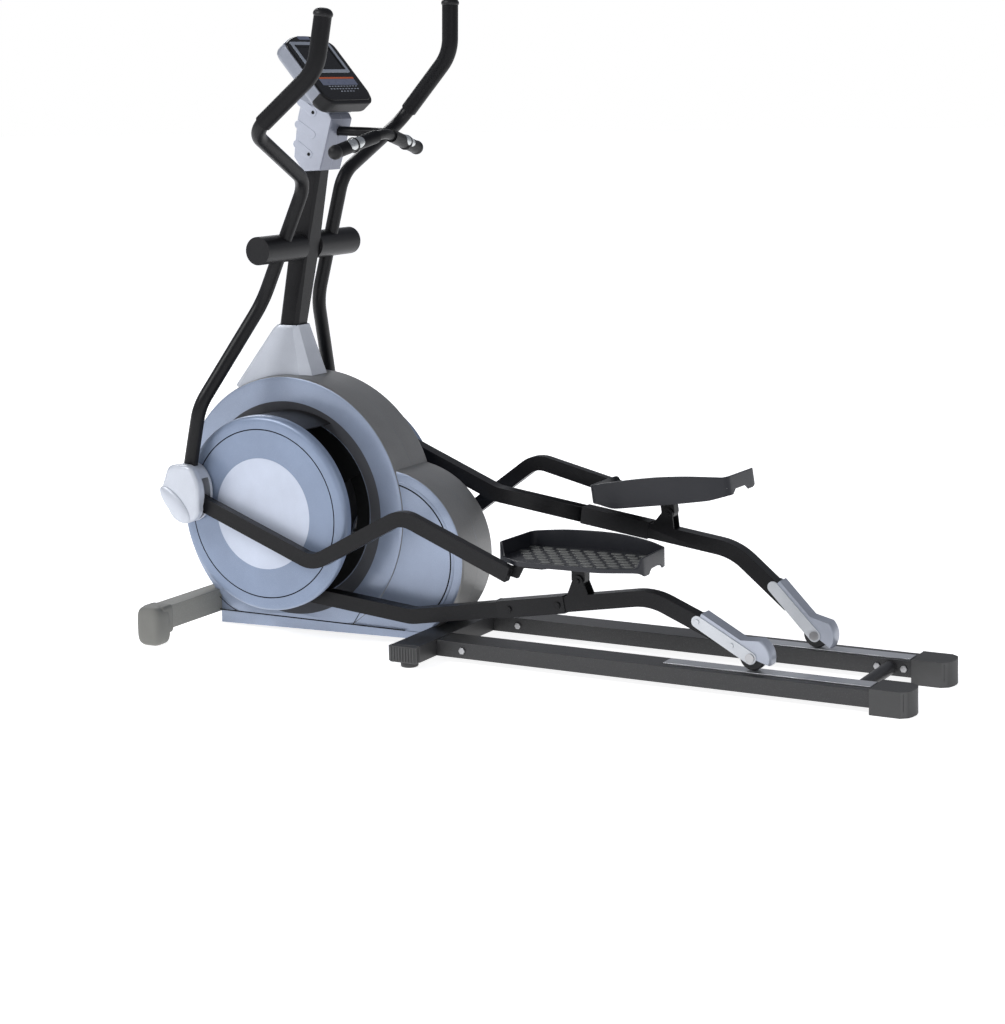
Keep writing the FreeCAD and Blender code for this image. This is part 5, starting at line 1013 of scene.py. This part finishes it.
for word, side in SIDES.items():
    bm = merged_copy(word + "_joint_cover")
    for vert in bm.verts:
        beyond = max(0, abs(vert.co.y) - SHELL_FOLD)
        vert.co.y -= side * FLATTENED * beyond
    bevelled(bm, sharp_edges(bm, 35), 0.0010, 2)
    shell = dressed(bm, word + "_joint_shell", "cover_silver", word + "_handlebar", 50)
    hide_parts(word + "_joint_cover")
    turned = HANDLE[word] @ REST_HANDLE
    plate = slab(PLATE_CORNERS, PLATE_Y, 0.017, 0.0095, 8)
    dressed(poured([plate], turned @ upright(side)), word + "_joint_plate", "cover_silver",
            word + "_handlebar", 60)
    lie = turned @ Matrix.Translation(SWELL + Vector((0, side * PLATE_Y[1], 0)))
    leaf = ellipsoid(SWELL_AXES, lie @ Matrix.Rotation(math.radians(SWELL_TILT), 4, "Y"))
    dressed(leaf, word + "_cover_swell", "cover_silver", word + "_handlebar")
    print(shell.name)

# %% [markdown]
# The front feet are full, soft rubber boots. A cube with a fine grid, pushed out until it fills
# a superellipsoid, gives a block that is round all over, and a second one makes the collar.

# %% The front boots
def pillow(low, high, power):
    """A superellipsoid in a box: a higher power makes it squarer."""
    bm = bmesh.new()
    bmesh.ops.create_cube(bm, size=2)
    bmesh.ops.subdivide_edges(bm, edges=list(bm.edges), cuts=16, use_grid_fill=True)
    centre = [(a + b) / 2 for a, b in zip(low, high)]
    half = [(b - a) / 2 for a, b in zip(low, high)]
    for vert in bm.verts:
        swell = sum(abs(v) ** power for v in vert.co) ** (-1 / power)
        vert.co = Vector(c + h * v * swell for c, h, v in zip(centre, half, vert.co))
    return bm


BOOT_POWER, COLLAR_POWER = 4.2, 9
BOOT_START = 0.3020
COLLAR_Y, COLLAR_FOOT = (0.2930, 0.3390), 0.0270
boot_low, boot_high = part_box("front_stabiliser_caps")
for word, side in SIDES.items():
    boot = pillow((boot_low[0], BOOT_START, boot_low[2]), boot_high, BOOT_POWER)
    collar = pillow((boot_low[0] + 0.0022, COLLAR_Y[0], COLLAR_FOOT),
                    (boot_high[0] - 0.0022, COLLAR_Y[1], boot_high[2] - 0.0012), COLLAR_POWER)
    boot = dressed(poured([boot, collar], Matrix.Diagonal((1, side, 1, 1))), word + "_boot", "boot_grey",
                   "frame")
    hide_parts("front_stabiliser_caps")
print("boots", [round(v, 3) for v in boot_high])

# %% [markdown]
# The rails' rear caps have a round end. They take a large radius on their upright rear edges
# first, and a small one on the other edges after.

# %% The rails' rear caps
cap_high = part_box("rail_end_caps")[1]
bm = merged_copy("rail_end_caps")
rear = [e for e in bm.edges if all(v.co.x > cap_high[0] - 0.001 for v in e.verts)
        and abs(e.verts[0].co.z - e.verts[1].co.z) > 0.02]
bevelled(bm, rear, 0.024, 8)
bevelled(bm, sharp_edges(bm, 40), 0.006, 4)
caps = dressed(bm, "rail_end_caps_soft", "end_rubber", "frame", 60)
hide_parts("rail_end_caps")
print(caps.name, len(caps.data.polygons))

# %% [markdown]
# A roller bracket ends in a round hood over the wheel. A bevel can't round so thin a shell, so
# the rim of the copied bracket is drawn in, and a soft profile, turned through the same angle,
# covers it. The turning goes about the wheel's axle.

# %% The roller brackets and their hoods
ARM_OFFSET = 0.130
FENDER_RADIUS = 0.050
CASTING_HALF = 0.0208
CROWN_LOW = 0.0425
SOFTNESS = 0.62


def crown(axle, middle, start, sweep):
    """A round hood over the wheel: a soft profile turned through part of a circle."""
    bm = bmesh.new()
    wide, foot = CASTING_HALF + 0.0007, CROWN_LOW - 0.0075
    rise = FENDER_RADIUS + 0.0006 - CROWN_LOW
    profile = [(foot, -wide)]
    for k in range(17):
        turn = math.radians(180 - 180 * k / 16)
        across = math.copysign(abs(math.cos(turn)) ** SOFTNESS, math.cos(turn))
        profile.append((CROWN_LOW + rise * abs(math.sin(turn)) ** SOFTNESS, wide * across))
    profile.append((foot, wide))
    reach = Vector((math.cos(start), 0, math.sin(start)))
    line = [bm.verts.new(Vector((axle.x, middle + y, axle.z)) + reach * radius) for radius, y in profile]
    edges = [bm.edges.new(pair) for pair in zip(line, line[1:] + line[:1])]
    bmesh.ops.spin(bm, geom=line + edges, cent=(axle.x, 0, axle.z), axis=(0, -1, 0), angle=sweep, steps=28)
    bmesh.ops.holes_fill(bm, edges=[e for e in bm.edges if e.is_boundary], sides=0)
    bmesh.ops.recalc_face_normals(bm, faces=bm.faces)
    return bm


for word, side in SIDES.items():
    node = word + "_roller_bracket"
    axle = Vector(joints[word + "_roller_spin"]["pos_m"])
    middle = side * ARM_OFFSET
    bm = merged_copy(node)
    rim = [v for v in bm.verts if abs(abs(v.co.y - middle) - CASTING_HALF) < 0.0009
           and abs(reach_from(v.co, axle) - FENDER_RADIUS) < 0.001]
    turns = [math.atan2(v.co.z - axle.z, v.co.x - axle.x) for v in rim]
    for vert in rim:
        shrink = (CROWN_LOW + 0.0005) / reach_from(vert.co, axle)
        vert.co.x, vert.co.z = axle.x + (vert.co.x - axle.x) * shrink, axle.z + (vert.co.z - axle.z) * shrink
    bevelled(bm, sharp_edges(bm, 40), 0.0016, 2)
    piece = dressed(bm, node + "_soft", "bracket_silver", body_of(node), 50)
    painted(piece, ("casting_grey",),
            lambda point, _: 1 if abs(point.y - middle) < CASTING_HALF + 0.0006 else 0)
    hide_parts(node)
    hood = crown(axle, middle, min(turns), max(turns) - min(turns))
    dressed(hood, word + "_roller_hood", "casting_grey", body_of(node), 50)
    print(piece.name, "hood from", [round(math.degrees(v)) for v in (min(turns), max(turns))])

# %% [markdown]
# Fine dark seams run along the foot of the housing: one where the housing stands on its base
# covers, one across its front corner, and a short one behind the crank cover.

# %% The seams
SEAMS = (((-0.290, 0.0415), (0.330, 0.0415), 0.0016), ((-0.2660, 0.0870), (-0.2250, 0.0570), 0.0009),
         ((-0.2250, 0.0570), (-0.1950, 0.0420), 0.0009), ((0.1930, 0.0730), (0.1720, 0.0420), 0.0009))
for word, side in SIDES.items():
    lines = []
    for start, end, half in SEAMS:
        run = Vector((end[0] - start[0], end[1] - start[1]))
        strip = panel((0, run.length), (-half, half), (HOUSING_FACE - 0.0004, HOUSING_FACE + 0.0003))
        turn = Matrix.Rotation(math.atan2(run.y, run.x), 4, "Z")
        bmesh.ops.transform(strip, matrix=Matrix.Translation((*start, 0)) @ turn, verts=strip.verts)
        lines.append(strip)
    stand = Matrix.Translation((CRANK.x, 0, 0)) @ upright(side)
    dressed(poured(lines, stand), word + "_housing_seams", "well_black", "frame", 40)
print("seams", len(SEAMS) * 2)

# %% [markdown]
# The middle stabiliser's rubber ends are ribbed, so that they grip the floor and the hand. The
# ribs are thin upright strips on the three outer faces of each end.

# %% The ribs
mid_low, mid_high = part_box("mid_stabiliser_caps")
RIB_HALF = 0.0014
RIB_MARGIN = 0.006
RIB_END_Y, RIB_END_Z = (0.2805, 0.2838), (0.018, 0.054)
RIB_SIDE_Y, RIB_SIDE_PITCH, RIB_SIDE_Z = 0.2655, 0.0065, (0.018, 0.0565)
pitch = (mid_high[0] - mid_low[0] - 2 * RIB_MARGIN) / 8
for word, side in SIDES.items():
    ribs = []
    for k in range(9):
        x = mid_low[0] + RIB_MARGIN + k * pitch
        ribs.append(panel((x - RIB_HALF, x + RIB_HALF), RIB_END_Y, RIB_END_Z))
    for k in range(3):
        y = RIB_SIDE_Y + k * RIB_SIDE_PITCH
        ribs.append(panel((mid_low[0] - 0.0016, mid_high[0] + 0.0016), (y - RIB_HALF, y + RIB_HALF),
                          RIB_SIDE_Z))
    dressed(poured(ribs, Matrix.Diagonal((1, side, 1, 1))), word + "_mid_ribs", "end_rubber", "frame",
            40)
print("ribs", len(ribs) * 2)

# %% [markdown]
# What isn't replaced keeps its CAD mesh and gets the finish of its slot. The console's three
# keys are printed like the strip that they sit in.

# %% The other nodes
for node, piece in nodes.items():
    piece.data.materials.clear()
    piece.data.materials.append(FINISHES["label_blue" if node.startswith("console_key") else SLOTS[node]])
print("finished", len(nodes), "nodes")
